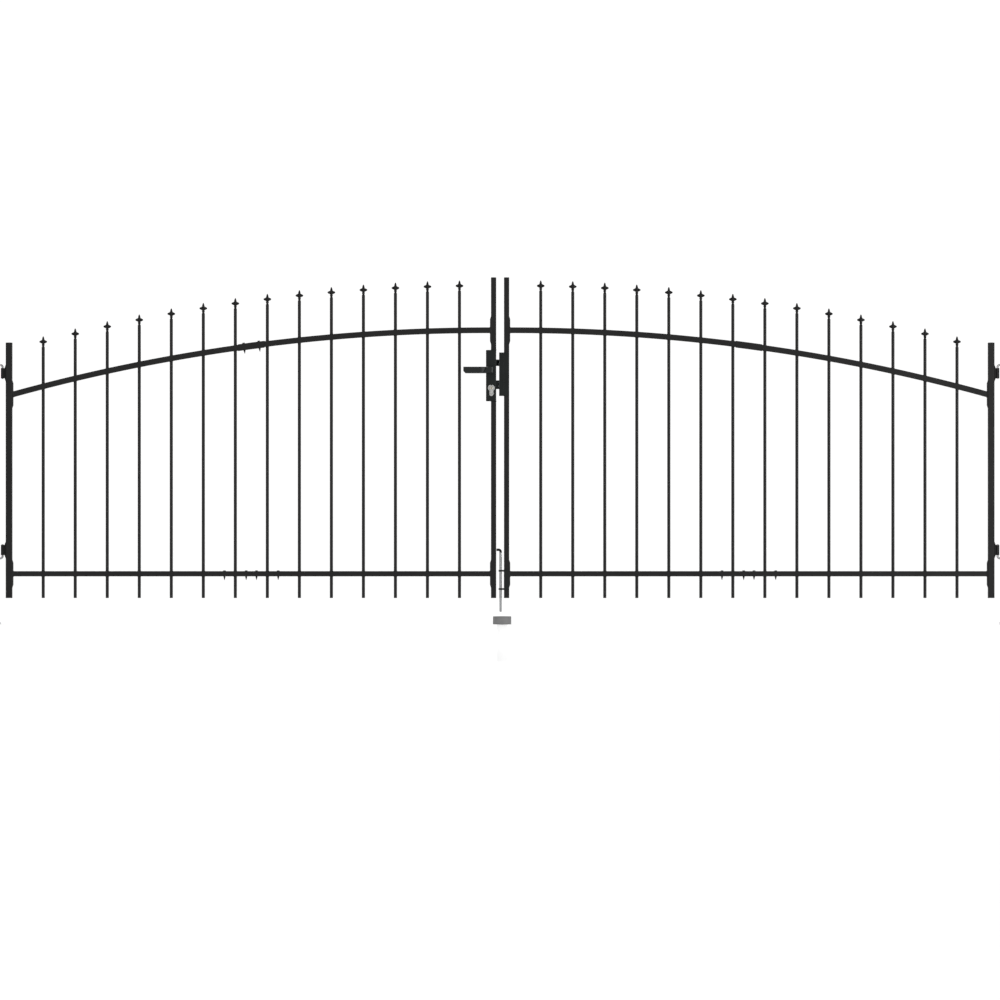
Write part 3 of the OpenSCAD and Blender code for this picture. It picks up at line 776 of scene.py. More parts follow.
for side in ("left", "right"):
    parts = []
    for low, high in loose_boxes(f"{side}_stile_caps"):
        width, rim_z = high.x - low.x, high.z - stile_cap_t
        plug_w = width - stile_plug_less
        profile = [
            (plug_w - MM, low.z, 1.2 * MM),
            (plug_w, low.z + MM, 1.4 * MM),
            (plug_w, rim_z, 1.4 * MM),
            (width - 0.2 * MM, rim_z, stile_corner),
            (width, rim_z + 0.2 * MM, stile_corner),
            (width, rim_z + 1.3 * MM, stile_corner),
            (width - 0.6 * MM, rim_z + 1.9 * MM, stile_corner),
            (width - 1.8 * MM, rim_z + 2.3 * MM, stile_corner - 0.4 * MM),
            (width * 0.6, rim_z + 2.75 * MM, stile_corner - 0.6 * MM),
            (width * 0.25, rim_z + 3 * MM, MM),
        ]
        centre_x = (low.x + high.x) / 2
        rings = [
            ring_at(at(centre_x, 0, z), rounded_outline(w, w, corner)) for w, z, corner in profile
        ]
        parts.append(lofted(rings))
    make_piece(
        f"{side}_stile_cap_mouldings",
        parts,
        black_plastic,
        f"{side}_leaf",
        [f"{side}_stile_caps"],
    )


# ---- Rails ----
# Two square tubes cross each leaf: a straight one below and one above that is rolled to an arch. Each
# is in two lengths that butt at the leaf's middle, so that the leaf can be packed in two halves.

rail_corner = 2.4 * MM
rail_wall = 1.5 * MM
arch_rail_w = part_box("left_top_rail")[1].y * 2
arch_r = 7145 * MM
arch_peak_from_mid = 51 * MM
arch_step = 12 * MM
arch_centre_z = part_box("left_top_rail")[1].z - arch_rail_w / 2 - arch_r


def arch_peak_x(side):
    return gate_mid_x + (-arch_peak_from_mid if side == "left" else arch_peak_from_mid)


def arch_z(side, x, above=0.0):
    """Height of the arched rail's centre line at x, or of a line above or below it."""
    return arch_centre_z + math.sqrt((arch_r + above) ** 2 - (x - arch_peak_x(side)) ** 2)


def arch_ring(side, x, outline):
    """An upright cut through the arched rail at x."""
    return [Vector((x, a, arch_z(side, x, b))) for a, b in outline]


def arched_tube(side, start, end, width, corner, wall, edge=0.0):
    """A square tube along the arch, from one upright cut to the other."""
    steps = max(2, round((end - start) / arch_step))
    stations = [start + (end - start) * i / steps for i in range(steps + 1)]
    outer = rounded_outline(width, width, corner)
    inner = rounded_outline(width - 2 * wall, width - 2 * wall, max(corner - 0.6 * wall, 0.3 * MM))
    rings = [arch_ring(side, x, outer) for x in stations]
    if edge:
        eased = rounded_outline(width - 2 * edge, width - 2 * edge, corner)
        rings[0] = arch_ring(side, start + edge, outer)
        rings[-1] = arch_ring(side, end - edge, outer)
        rings = [arch_ring(side, start, eased)] + rings + [arch_ring(side, end, eased)]
    rings += [arch_ring(side, x, inner) for x in reversed(stations)]
    return lofted(rings, loop=True)


def level_tube(box, corner, wall):
    """A square tube that fills the box, along X."""
    low, high = box
    width, middle = high.z - low.z, (low + high) / 2
    outer = rounded_outline(width, width, corner)
    inner = rounded_outline(width - 2 * wall, width - 2 * wall, max(corner - 0.6 * wall, 0.3 * MM))
    start, end = at(low.x, 0, middle.z) @ along_x, at(high.x, 0, middle.z) @ along_x
    rings = [ring_at(start, outer), ring_at(end, outer), ring_at(end, inner), ring_at(start, inner)]
    return lofted(rings, loop=True)


for side in ("left", "right"):
    make_piece(
        f"{side}_arched_rail",
        [
            arched_tube(side, low.x, high.x, arch_rail_w, rail_corner, rail_wall)
            for low, high in loose_boxes(f"{side}_top_rail")
        ],
        powder_coat,
        f"{side}_leaf",
        [f"{side}_top_rail"],
    )
    make_piece(
        f"{side}_straight_rail",
        [level_tube(box, rail_corner, rail_wall) for box in loose_boxes(f"{side}_bottom_rail")],
        powder_coat,
        f"{side}_leaf",
        [f"{side}_bottom_rail"],
    )


# ---- End plates ----
# A short flat bar with bevelled ends stands between each rail's end and the stile. It spreads the
# load on the thin tube, and is welded to the rail and down both sides to the stile.

plate_taper = 12 * MM
plate_edge = 0.6 * MM
faces_front = turn("X", 90)


def middle_x(boxes):
    """The middle along X of a group of boxes."""
    return (min(low.x for low, high in boxes) + max(high.x for low, high in boxes)) / 2


for side in ("left", "right"):
    boxes = loose_boxes(f"{side}_end_plates")
    leaf_mid_x = middle_x(boxes)
    parts = []
    for low, high in boxes:
        thick, half = high.x - low.x, (high.z - low.z) / 2
        stile_x = -thick / 2 if low.x < leaf_mid_x else thick / 2
        outline = [
            (stile_x, -half),
            (-stile_x, -half + plate_taper),
            (-stile_x, half - plate_taper),
            (stile_x, half),
        ]
        plate = cut_plate([outline], high.y - low.y, plate_edge)
        parts.append(placed(plate, at((low.x + high.x) / 2, 0, (low.z + high.z) / 2) @ faces_front))
    make_piece(
        f"{side}_bevelled_end_plates",
        parts,
        powder_coat,
        f"{side}_leaf",
        [f"{side}_end_plates"],
    )


# ---- Splice sleeves ----
# The two lengths of each rail are joined by a short sleeve of square tube: a larger one slipped over
# the arched rail, between two bars, and a smaller one pushed inside the straight rail.

sleeve_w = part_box("left_splice_sleeves")[1].y * 2
sleeve_wall = 1.8 * MM
sleeve_edge = 0.7 * MM
inner_sleeve_corner = 1.5 * MM

for side in ("left", "right"):
    lower, upper = sorted(loose_boxes(f"{side}_splice_sleeves"), key=lambda box: box[0].z)
    make_piece(
        f"{side}_joining_sleeves",
        [
            arched_tube(side, upper[0].x, upper[1].x, sleeve_w, rail_corner, sleeve_wall, sleeve_edge),
            level_tube(lower, inner_sleeve_corner, sleeve_wall),
        ],
        powder_coat,
        f"{side}_leaf",
        [f"{side}_splice_sleeves"],
    )


# ---- Splice screws ----
# Blackened self-drilling screws with a hexagon head and a flange hold the sleeves. They are driven
# from above right through the tube, so their tapering threaded points stand out below.

screw_head_r = 6.4 * MM
screw_flange_t = 1.1 * MM
screw_head_h = 3 * MM
screw_hex_w = 9 * MM
screw_shank_r = 2.35 * MM
screw_taper_r = 4.8 * MM
screw_tip_r = 0.5 * MM
screw_point_l = 15 * MM
screw_pitch = 1.8 * MM
screw_thread_depth = 0.55 * MM
screw_row = 0.3 * MM
screw_sides = 14

blackened = make_finish(
    "blackened_screw",
    metal_skin,
    {
        "Colour": (0.014, 0.014, 0.015, 1),
        "Dull colour": (0.007, 0.007, 0.0075, 1),
        "Roughness": 0.36,
        "Brushing": 0.4,
    },
    0.03 * MM,
    {"Metallic": 0.8, "Specular IOR Level": 0.2},
)


def drilling_screw(length):
    """A screw with the underside of its head at z = 0 and its point at -length."""
    flange = [
        (screw_shank_r, 0),
        (screw_head_r - 0.3 * MM, 0),
        (screw_head_r, 0.3 * MM),
        (screw_head_r - 0.4 * MM, 0.7 * MM),
        (screw_hex_w * 0.45, screw_flange_t),
        (screw_hex_w * 0.3, screw_flange_t),
    ]
    hexagon = hex_outline(screw_hex_w)
    head = [
        ring_at(at(0, 0, z), [(x * s, y * s) for x, y in hexagon])
        for z, s in ((0.5 * MM, 1), (screw_head_h - 0.5 * MM, 1), (screw_head_h, 0.86))
    ]
    rows = int(length / screw_row)
    shank = []
    for row in range(rows + 1):
        depth = length * row / rows
        from_point = length - depth
        core = screw_shank_r
        if from_point < screw_point_l:
            core = screw_tip_r + (screw_taper_r - screw_tip_r) * (from_point / screw_point_l) ** 0.85
        ring = []
        for k in range(screw_sides):
            phase = (depth / screw_pitch - k / screw_sides) % 1
            reach = core - screw_thread_depth * abs(2 * phase - 1) * min(1, core / screw_shank_r)
            angle = math.tau * k / screw_sides
            ring.append(Vector((reach * math.cos(angle), reach * math.sin(angle), -depth)))
        shank.append(ring)
    return [lofted(turned(flange, 24), loop=True), lofted(head), lofted(shank)]


for side in ("left", "right"):
    parts = []
    for low, high in loose_boxes(f"{side}_splice_screws"):
        x = (low.x + high.x) / 2
        arched = low.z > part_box(f"{side}_bottom_rail")[1].z
        lean = math.degrees(math.asin((x - arch_peak_x(side)) / arch_r)) if arched else 0
        for part in drilling_screw(high.z - low.z - screw_head_h):
            parts.append(placed(part, at(x, 0, high.z - screw_head_h) @ turn("Y", lean)))
    make_piece(
        f"{side}_drilling_screws",
        parts,
        blackened,
        f"{side}_leaf",
        [f"{side}_splice_screws"],
    )


# ---- Bars ----
# Round solid bars stand through holes punched in both rails, fourteen to a leaf. Their lower ends
# are sawn square and lightly chamfered, and their tops follow the arch at one height above it.

bar_chamfer = 0.9 * MM

for side in ("left", "right"):
    parts = []
    for low, high in loose_boxes(f"{side}_bars"):
        radius, x = (high.x - low.x) / 2, (low.x + high.x) / 2
        profile = [
            (radius - bar_chamfer, low.z),
            (radius, low.z + bar_chamfer),
            (radius, high.z - 0.2 * MM),
            (radius - 0.2 * MM, high.z),
        ]
        parts.append(placed(lofted(turned(profile, 28)), at(x, 0, 0)))
    make_piece(
        f"{side}_round_bars",
        parts,
        powder_coat,
        f"{side}_leaf",
        [f"{side}_bars"],
    )


# ---- Finials ----
# A cast steel finial is welded on every bar: a collar, a ball on a thin neck, two blunt barbs like a
# flattened diamond, and a round spike above. The casting is coarser than the bar under the same coat.

finial_rise = 44 * MM
barb_z = 22.4 * MM
barb_h = 19 * MM
barb_depth = 8 * MM
barb_tip_h = 7 * MM
barb_rings = 17

cast_steel = make_finish(
    "black_cast_steel",
    sprayed_skin,
    {"Colour": (0.0036, 0.0035, 0.0035, 1), "Roughness": 0.46, "Peel scale": 260.0, "Dust": 0.2},
    0.3 * MM,
    {"Specular IOR Level": 0.14},
)


def finial(width):
    """A finial with its foot at z = 0."""
    profile = [
        (5.6 * MM, 0),
        (6.2 * MM, 0.5 * MM),
        (6.2 * MM, 1.6 * MM),
        (5.4 * MM, 2.4 * MM),
        (4.6 * MM, 3.2 * MM),
        (4.4 * MM, 4.4 * MM),
        (4.7 * MM, 6.0 * MM),
        (5.5 * MM, 8.0 * MM),
        (5.9 * MM, 10.5 * MM),
        (5.5 * MM, 13.0 * MM),
        (4.6 * MM, 15.2 * MM),
        (4.7 * MM, 17.5 * MM),
        (5.4 * MM, 20.5 * MM),
        (5.7 * MM, 23.5 * MM),
        (5.5 * MM, 26.5 * MM),
        (5.3 * MM, 30.5 * MM),
        (4.4 * MM, 35.0 * MM),
        (3.3 * MM, 39.2 * MM),
        (2.2 * MM, 42.2 * MM),
        (1.5 * MM, 43.5 * MM),
        (0.6 * MM, finial_rise),
    ]
    barbs = []
    for k in range(barb_rings):
        share = -math.cos(math.pi * k / (barb_rings - 1))
        out = abs(share)
        blunt = math.sqrt(max(0.02, 1 - out**12))
        tall = (barb_h / 2 * (1 - out) ** 1.3 + barb_tip_h / 2 * out**0.6) * blunt
        deep = barb_depth / 2 * (1 - 0.5 * out) * blunt
        barbs.append(
            [
                Vector((share * width / 2, deep * math.cos(t), barb_z + tall * math.sin(t)))
                for t in [math.tau * i / 16 for i in range(16)]
            ]
        )
    return [lofted(turned(profile, 20)), lofted(barbs)]


for side in ("left", "right"):
    parts = []
    for low, high in loose_boxes(f"{side}_finials"):
        for part in finial(high.x - low.x):
            parts.append(placed(part, at((low.x + high.x) / 2, 0, low.z)))
    make_piece(
        f"{side}_cast_finials",
        parts,
        cast_steel,
        f"{side}_leaf",
        [f"{side}_finials"],
    )


# ---- Frame welds ----
# Small beads join the bars to both rails above and below, the rails to their end plates, and the end
# plates to the stiles. They were ground no further than needed, and the powder coat runs over them.

bar_weld = 1.3 * MM
rail_weld = 1.6 * MM
stile_weld = 1.5 * MM
stile_weld_from_end = 3 * MM
weld_step = 1.3 * MM

for seed, side in enumerate(("left", "right")):
    beads = []
    rail_low, rail_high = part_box(f"{side}_bottom_rail")
    for number, (low, high) in enumerate(loose_boxes(f"{side}_bars")):
        radius, x = (high.x - low.x) / 2, (low.x + high.x) / 2
        ring = round_outline(radius + 0.2 * MM, 32, x)
        for level, heights in enumerate(
            (
                [arch_z(side, a, arch_rail_w / 2) for a, b in ring],
                [arch_z(side, a, -arch_rail_w / 2) for a, b in ring],
                [rail_high.z] * len(ring),
                [rail_low.z] * len(ring),
            )
        ):
            path = [(a, b, z) for (a, b), z in zip(ring, heights)]
            beads.append(weld_bead(path, bar_weld, 100 * seed + 4 * number + level, closed=True))
    boxes = loose_boxes(f"{side}_end_plates")
    leaf_mid_x = middle_x(boxes)
    for number, (low, high) in enumerate(boxes):
        stile_x, rail_x = (low.x, high.x) if low.x < leaf_mid_x else (high.x, low.x)
        arched = low.z > rail_high.z
        width = arch_rail_w if arched else rail_high.z - rail_low.z
        outline = rounded_outline(width, width, rail_corner)
        if arched:
            ends = arch_ring(side, rail_x, outline)
        else:
            ends = [Vector((rail_x, a, (rail_low.z + rail_high.z) / 2 + b)) for a, b in outline]
        path = path_round(ends, weld_step, shortest=0.5)
        beads.append(weld_bead(path, rail_weld, 1000 + number, closed=True))
        for way in (-1, 1):
            y = way * (high.y - 0.3 * MM)
            start, end = low.z + stile_weld_from_end, high.z - stile_weld_from_end
            path = stepped((stile_x, y, start), (stile_x, y, end), weld_step)
            beads.append(weld_bead(path, stile_weld, 2000 + number * 2 + way))
    make_piece(f"{side}_frame_welds", beads, powder_coat, f"{side}_leaf")


# ---- Hinge eyes ----
# A short thick-walled barrel on a flat web, which is welded to the stile's outer face. The barrel's
# ends are faced and its bore is reamed for the pintle, and the web spreads out towards the stile.

eye_bore_r = 4.15 * MM
eye_ease = 0.8 * MM
web_t = 6 * MM
web_edge = 0.7 * MM
web_weld, barrel_weld = 1.8 * MM, 1.2 * MM
web_weld_from_end = 2 * MM

for side in ("left", "right"):
    parts = []
    for number, (low, high) in enumerate(left_eyes):
        web_x = high.x - hinge_axis_x
        centre = at(hinge_axis_x, 0, (low.z + high.z) / 2)
        half_eye, half_web = eye_h / 2, (high.z - low.z) / 2
        barrel = [
            (eye_bore_r + 0.3 * MM, -half_eye),
            (eye_r - eye_ease, -half_eye),
            (eye_r - 0.25 * eye_ease, -half_eye + 0.25 * eye_ease),
            (eye_r, -half_eye + eye_ease),
            (eye_r, half_eye - eye_ease),
            (eye_r - 0.25 * eye_ease, half_eye - 0.25 * eye_ease),
            (eye_r - eye_ease, half_eye),
            (eye_bore_r + 0.3 * MM, half_eye),
            (eye_bore_r, half_eye - 0.6 * MM),
            (eye_bore_r, -half_eye + 0.6 * MM),
        ]
        web = cut_plate(
            [
                [
                    (eye_r * 0.75, -half_eye + MM),
                    (eye_r + 0.5 * MM, -half_eye),
                    (web_x, -half_web),
                    (web_x, half_web),
                    (eye_r + 0.5 * MM, half_eye),
                    (eye_r * 0.75, half_eye - MM),
                ]
            ],
            web_t,
            web_edge,
        )
        parts.append(placed(lofted(turned(barrel, 36), loop=True), centre))
        parts.append(placed(web, centre @ faces_front))
        for way in (-1, 1):
            for x, half, size, seed in (
                (web_x, half_web, web_weld, 40),
                (eye_r - 0.6 * MM, half_eye, barrel_weld, 50),
            ):
                y, reach = way * web_t / 2, half - web_weld_from_end
                path = stepped((x, y, -reach), (x, y, reach), weld_step)
                parts.append(placed(weld_bead(path, size, seed + number + way), centre))
    make_piece(
        f"{side}_hinge_barrels",
        parts,
        powder_coat,
        f"{side}_leaf",
        [f"{side}_hinge_eyes"],
        mirrored=side == "right",
    )


# ---- Lock case ----
# A long folded steel box, welded into the lock stile. A narrow front plate with two screws closes its
# gap side, round the latch and the deadbolt, and a low round rose on each face carries the lever.

case_corner = 2.5 * MM
case_edge = 1.8 * MM
front_plate_t = 2 * MM
front_plate_edge = 0.5 * MM
front_plate_less = 0.4 * MM
front_plate_corner = 2.4 * MM
rose_r, rose_bore_r = 16 * MM, 10 * MM
rose_t = 2.4 * MM
plate_screw_from_end = 9 * MM
bolt_slot_gap = 0.4 * MM
case_weld = 1.5 * MM
lever_neck_r = 9 * MM

lock_black = make_finish(
    "lock_black",
    sprayed_skin,
    {
        "Colour": (0.0042, 0.0058, 0.0054, 1),
        "Roughness": 0.34,
        "Peel scale": 900.0,
        "Dust": 0.2,
        "Dust colour": (0.025, 0.028, 0.027, 1),
    },
    0.08 * MM,
    {"Specular IOR Level": 0.17},
)


def both_halves(rings):
    """The rings of a lower half, followed by the same rings turned over for the upper half."""
    return rings + [[Vector((p.x, p.y, -p.z)) for p in ring] for ring in reversed(rings)]


def eased_block(width, depth, height, corner, edge):
    """An upright block with rounded corners and eased top and bottom edges, round the origin."""
    rings = []
    for step in range(4):
        lean = math.radians(30 * step)
        inset, rise = edge * (1 - math.sin(lean)), edge * (1 - math.cos(lean))
        tighter = corner - min(inset, corner * 0.8)
        outline = rounded_outline(width - 2 * inset, depth - 2 * inset, tighter)
        rings.append(ring_at(at(0, 0, rise - height / 2), outline))
    return lofted(both_halves(rings))


def block_in(low, high, corner, edge):
    """An eased block that fills the box."""
    size, middle = Vector(high) - Vector(low), (Vector(low) + Vector(high)) / 2
    return placed(eased_block(size.x, size.y, size.z, corner, edge), Matrix.Translation(middle))


case_low, case_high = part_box("lock_case")
latch_low, latch_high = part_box("latch_bolt")
dead_low, dead_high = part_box("dead_bolt")
spindle_low, spindle_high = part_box("front_lever")
spindle_x = spindle_high.x - lever_neck_r
spindle_z = (spindle_low.z + spindle_high.z) / 2
case_mid_z = (case_low.z + case_high.z) / 2
box_end_x = case_high.x - front_plate_t + 0.1 * MM
parts = [block_in(case_low, (box_end_x, case_high.y, case_high.z), case_corner, case_edge)]
plate_w = case_high.y - case_low.y - front_plate_less
plate_h = case_high.z - case_low.z - front_plate_less
slots = [rounded_outline(plate_w, plate_h, front_plate_corner)]
for bolt_low, bolt_high in ((latch_low, latch_high), (dead_low, dead_high)):
    height, middle_z = bolt_high.z - bolt_low.z, (bolt_low.z + bolt_high.z) / 2
    slot = rounded_outline(
        bolt_high.y - bolt_low.y + 2 * bolt_slot_gap, height + 2 * bolt_slot_gap, 1.2 * MM, 3
    )
    slots.append([(a, b + middle_z - case_mid_z) for a, b in slot])
front_plate = cut_plate(slots, front_plate_t, front_plate_edge)
faces_gap = Matrix(((0, 0, 1, 0), (1, 0, 0, 0), (0, 1, 0, 0), (0, 0, 0, 1)))
parts.append(placed(front_plate, at(case_high.x - front_plate_t / 2, 0, case_mid_z) @ faces_gap))
for way in (-1, 1):
    rose = [
        (rose_bore_r, 0),
        (rose_r, 0),
        (rose_r, rose_t * 0.4),
        (rose_r - 0.5 * MM, rose_t * 0.8),
        (rose_r - 1.6 * MM, rose_t),
        (rose_bore_r + MM, rose_t),
        (rose_bore_r, rose_t * 0.5),
    ]
    stand = at(spindle_x, way * case_high.y, spindle_z) @ turn("X", -90 * way)
    parts.append(placed(lofted(turned(rose, 48), loop=True), stand))
stile_low, stile_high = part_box("left_lock_stile")
around_stile = rounded_outline(stile_high.x - stile_low.x, stile_high.y - stile_low.y, stile_corner)
for number, z in enumerate((case_low.z, case_high.z)):
    ring = ring_at(at((stile_low.x + stile_high.x) / 2, 0, z), around_stile)
    parts.append(weld_bead(path_round(ring, weld_step), case_weld, 70 + number, closed=True))
make_piece("lock_box", parts, lock_black, "left_leaf", ["lock_case"])

heads = []
for way in (-1, 1):
    z = case_mid_z + way * (case_high.z - case_mid_z - plate_screw_from_end)
    dome = [
        (3.2 * MM, 0),
        (3.2 * MM, 0.15 * MM),
        (2.6 * MM, 0.45 * MM),
        (1.4 * MM, 0.55 * MM),
        (1.2 * MM, 0.1 * MM),
        (0.3 * MM, 0.08 * MM),
    ]
    heads.append(placed(lofted(turned(dome, 24)), at(case_high.x - 0.3 * MM, 0, z) @ along_x))
make_piece("front_plate_screws", heads, blackened, "left_leaf")


# ---- Cylinder, its guards and the plug ----
# A nickel-plated profile cylinder goes through the case, with a satin nickel guard plate screwed on
# each side. The brass plug in its round part has the keyway at each end, and turns with the key.

guard_t, guard_edge = 4 * MM, 1.1 * MM
cylinder_edge = 0.5 * MM
cyl_r, cyl_leg_w, cyl_h = 8.5 * MM, 10 * MM, 33 * MM
guard_r, guard_leg_w, guard_h = 13.5 * MM, 16 * MM, 46 * MM
guard_notch_w, guard_notch_h = 6.5 * MM, 4 * MM
plug_r = 6.25 * MM
plug_bore_r = 6.4 * MM
keyway_w, keyway_h = 2 * MM, 9 * MM
plug_disc_t = 6 * MM

satin_nickel = make_finish(
    "satin_nickel",
    metal_skin,
    {
        "Colour": (0.42, 0.42, 0.41, 1),
        "Dull colour": (0.29, 0.29, 0.285, 1),
        "Roughness": 0.34,
        "Spangle scale": 900.0,
    },
    0.04 * MM,
    {"Metallic": 1.0},
)
plug_brass = make_finish(
    "brass_plug",
    metal_skin,
    {
        "Colour": (0.5, 0.47, 0.41, 1),
        "Dull colour": (0.34, 0.31, 0.26, 1),
        "Roughness": 0.3,
        "Spangle scale": 900.0,
    },
    0.03 * MM,
    {"Metallic": 1.0},
)


def keyhole_outline(radius, leg_w, height, notch_w=0.0, notch_h=0.0, steps=36):
    """The outline of a profile cylinder, a round part with a round-ended leg, and a notch on top."""
    leg_r = leg_w / 2
    leg_drop = height - radius - leg_r
    start = -90 + math.degrees(math.asin(leg_r / radius))
    points = []
    for step in range(steps + 1):
        angle = math.radians(start + (180 - 2 * start) * step / steps)
        x, y = radius * math.cos(angle), radius * math.sin(angle)
        if y > 0 and abs(x) < notch_w / 2:
            y -= notch_h * (1 - 2 * abs(x) / notch_w)
        points.append((x, y))
    for step in range(1, 14):
        angle = math.radians(180 + 180 * step / 14)
        points.append((leg_r * math.cos(angle), -leg_drop + leg_r * math.sin(angle)))
    return points


cyl_low, cyl_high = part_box("lock_cylinder")
cyl_z = cyl_high.z - cyl_r
body = cut_plate(
    [keyhole_outline(cyl_r, cyl_leg_w, cyl_h), round_outline(plug_bore_r, 36)],
    cyl_high.y - cyl_low.y,
    cylinder_edge,
)
make_piece(
    "profile_cylinder",
    [placed(body, at(spindle_x, 0, cyl_z) @ faces_front)],
    satin_nickel,
    "left_leaf",
    ["lock_cylinder"],
)
guard = cut_plate(
    [
        keyhole_outline(guard_r, guard_leg_w, guard_h, guard_notch_w, guard_notch_h, 72),
        keyhole_outline(cyl_r + 0.2 * MM, cyl_leg_w + 0.4 * MM, cyl_h + 0.4 * MM),
    ],
    guard_t,
    guard_edge,
)
make_piece(
    "cylinder_guard_plates",
    [
        placed(guard, at(spindle_x, way * (case_high.y + guard_t / 2), cyl_z) @ faces_front)
        for way in (-1, 1)
    ],
    satin_nickel,
    "left_leaf",
    ["cylinder_guards"],
)
plug_low, plug_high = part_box("key_plug")
disc = cut_plate(
    [round_outline(plug_r, 36), rounded_outline(keyway_w, keyway_h, 0.7 * MM, 3)],
    plug_disc_t,
    0.35 * MM,
)
core_r = plug_r - 0.2 * MM
core = [
    (core_r, plug_low.y + plug_disc_t - 0.5 * MM),
    (core_r, plug_high.y - plug_disc_t + 0.5 * MM),
]
parts = [placed(lofted(turned(core, 24)), at(spindle_x, 0, cyl_z) @ turn("X", -90))]
for way in (-1, 1):
    disc_y = way * (plug_high.y - plug_disc_t / 2)
    parts.append(placed(disc, at(spindle_x, disc_y, cyl_z) @ faces_front))
make_piece("keyed_plug", parts, plug_brass, "key", ["key_plug"])


# ---- Levers ----
# A cast lever on each side of the lock. Its round neck ends in a square-shouldered block with a
# slanting edge, and the flat grip leans in to meet that edge. The tip is bevelled and turns back.

grip_h = spindle_high.z - spindle_low.z
grip_t = 9 * MM
grip_corner = 3.2 * MM
bend_r = 9 * MM
block_w, block_h, block_depth = 24 * MM, 23 * MM, 17 * MM
block_shoulder, block_edge = 9.5 * MM, 1.2 * MM
block_proud = 0.4 * MM
crease_top, crease_low = 19 * MM, 33 * MM
crease_step = 2.6 * MM
lean_from, lean_ease, lean_slope, lean_limit = 50 * MM, 13 * MM, 0.32, 8 * MM
lean_gone, lean_fade = 11 * MM, 6 * MM
tip_bevel, tip_return = 9 * MM, 3.6 * MM
edge_points = 9
ring_gap = 0.8 * MM
spindle_w = 7 * MM
# Along the bevelled tip: the share of the bevel, and the grip's thickness and corner there, as shares
tip_shape = (
    (0.25, 1, 1),
    (0.5, 1, 1),
    (0.75, 0.97, 1),
    (0.9, 0.9, 0.9),
    (0.97, 0.74, 0.8),
    (1.0, 0.5, 0.6),
)

lever_black = make_finish(
    "lever_black",
    sprayed_skin,
    {
        "Colour": (0.0042, 0.0058, 0.0054, 1),
        "Roughness": 0.3,
        "Peel scale": 900.0,
        "Dust": 0.15,
        "Dust colour": (0.025, 0.028, 0.027, 1),
    },
    0.06 * MM,
    {"Specular IOR Level": 0.24},
)


def lever_parts(way):
    """A lever on the side that way points to, -1 for the front, round the spindle's axis."""
    reach = abs(spindle_low.y)
    grip_y = reach - block_proud - grip_t / 2
    length = spindle_x - spindle_low.x
    neck_r = lever_neck_r

    def ring(centre_x, centre_y, heading, tall, thick, corner, low_cut=0.0):
        """A cut across the lever. Its sides have extra points, so that the slanting edge is sharp."""
        points = []
        corners = rounded_outline(tall, thick, corner, 6)
        per_corner = len(corners) // 4
        outline = []
        for number, (a, b) in enumerate(corners):
            outline.append((a, b))
            if number % per_corner == per_corner - 1:
                c, d = corners[(number + 1) % len(corners)]
                for step in range(1, edge_points + 1):
                    share = step / (edge_points + 1)
                    outline.append((a + (c - a) * share, b + (d - b) * share))
        for a, b in outline:
            if low_cut:
                a = -tall / 2 + low_cut + (a + tall / 2) * (tall - low_cut) / tall
            x = centre_x + b * math.cos(heading)
            y = centre_y + b * math.sin(heading)
            run = max(0.0, x + lean_from)
            eased = run * run / (2 * lean_ease) if run < lean_ease else run - lean_ease / 2
            lean = min(lean_limit, lean_slope * eased) * min(1.0, max(0.0, (-x - lean_gone) / lean_fade))
            past = x + crease_top + (crease_low - crease_top) * (0.5 - a / grip_h)
            shoulder = min(1.0, max(0.0, past / crease_step))
            y -= lean * (1 - shoulder * min(1.0, max(0.0, (y - grip_y) / grip_t + 0.5)))
            y -= tip_return * max(0.0, (-x - (length - tip_bevel)) / tip_bevel) ** 2
            points.append(Vector((x, way * y, a)))
        return points

    neck_y = case_high.y + rose_t + 0.4 * MM
    rings = [ring(0, neck_y, 0, 2 * neck_r, 2 * neck_r, neck_r - 0.05 * MM)]
    for step in range(13):
        share = step / 12
        angle = math.radians(90 * share)
        blend = share * share * (3 - 2 * share)
        rings.append(
            ring(
                -bend_r + bend_r * math.cos(angle),
                grip_y - bend_r + bend_r * math.sin(angle),
                angle,
                2 * neck_r + (grip_h - 2 * neck_r) * blend,
                2 * neck_r + (grip_t - 2 * neck_r) * blend,
                neck_r - 0.05 * MM + (grip_corner - neck_r) * blend,
            )
        )
    along = [bend_r + ring_gap * step for step in range(1, int((lean_from - bend_r) / ring_gap))]
    along += [lean_from + (length - tip_bevel - lean_from) * step / 14 for step in range(15)]
    for out in along:
        rings.append(ring(-out, grip_y, math.pi / 2, grip_h, grip_t, grip_corner))
    for share, thin, corner in tip_shape:
        rings.append(
            ring(
                -(length - tip_bevel) - tip_bevel * share,
                grip_y,
                math.pi / 2,
                grip_h - (1 - thin) * 3 * MM,
                grip_t * thin,
                grip_corner * corner * thin,
                tip_bevel * share * 0.9,
            )
        )
    block = []
    for lean in range(0, 91, 30):
        inset = block_edge * (1 - math.sin(math.radians(lean)))
        rise = block_edge * (1 - math.cos(math.radians(lean))) - block_h / 2
        left, right = neck_r - block_w + inset, neck_r - inset
        front, back = reach - inset, reach - block_depth + inset
        outline = [(left, front), (left, back), (right, back)]
        for step in range(13):
            angle = math.radians(90 * step / 12)
            outline.append(
                (
                    right - (block_shoulder - inset) * (1 - math.cos(angle)),
                    front - (block_shoulder - inset) * (1 - math.sin(angle)),
                )
            )
        block.append([Vector((x, way * y, rise)) for x, y in outline])
    spindle = at(spindle_x, 0, spindle_z)
    return [placed(lofted(rings), spindle), placed(lofted(both_halves(block)), spindle)]


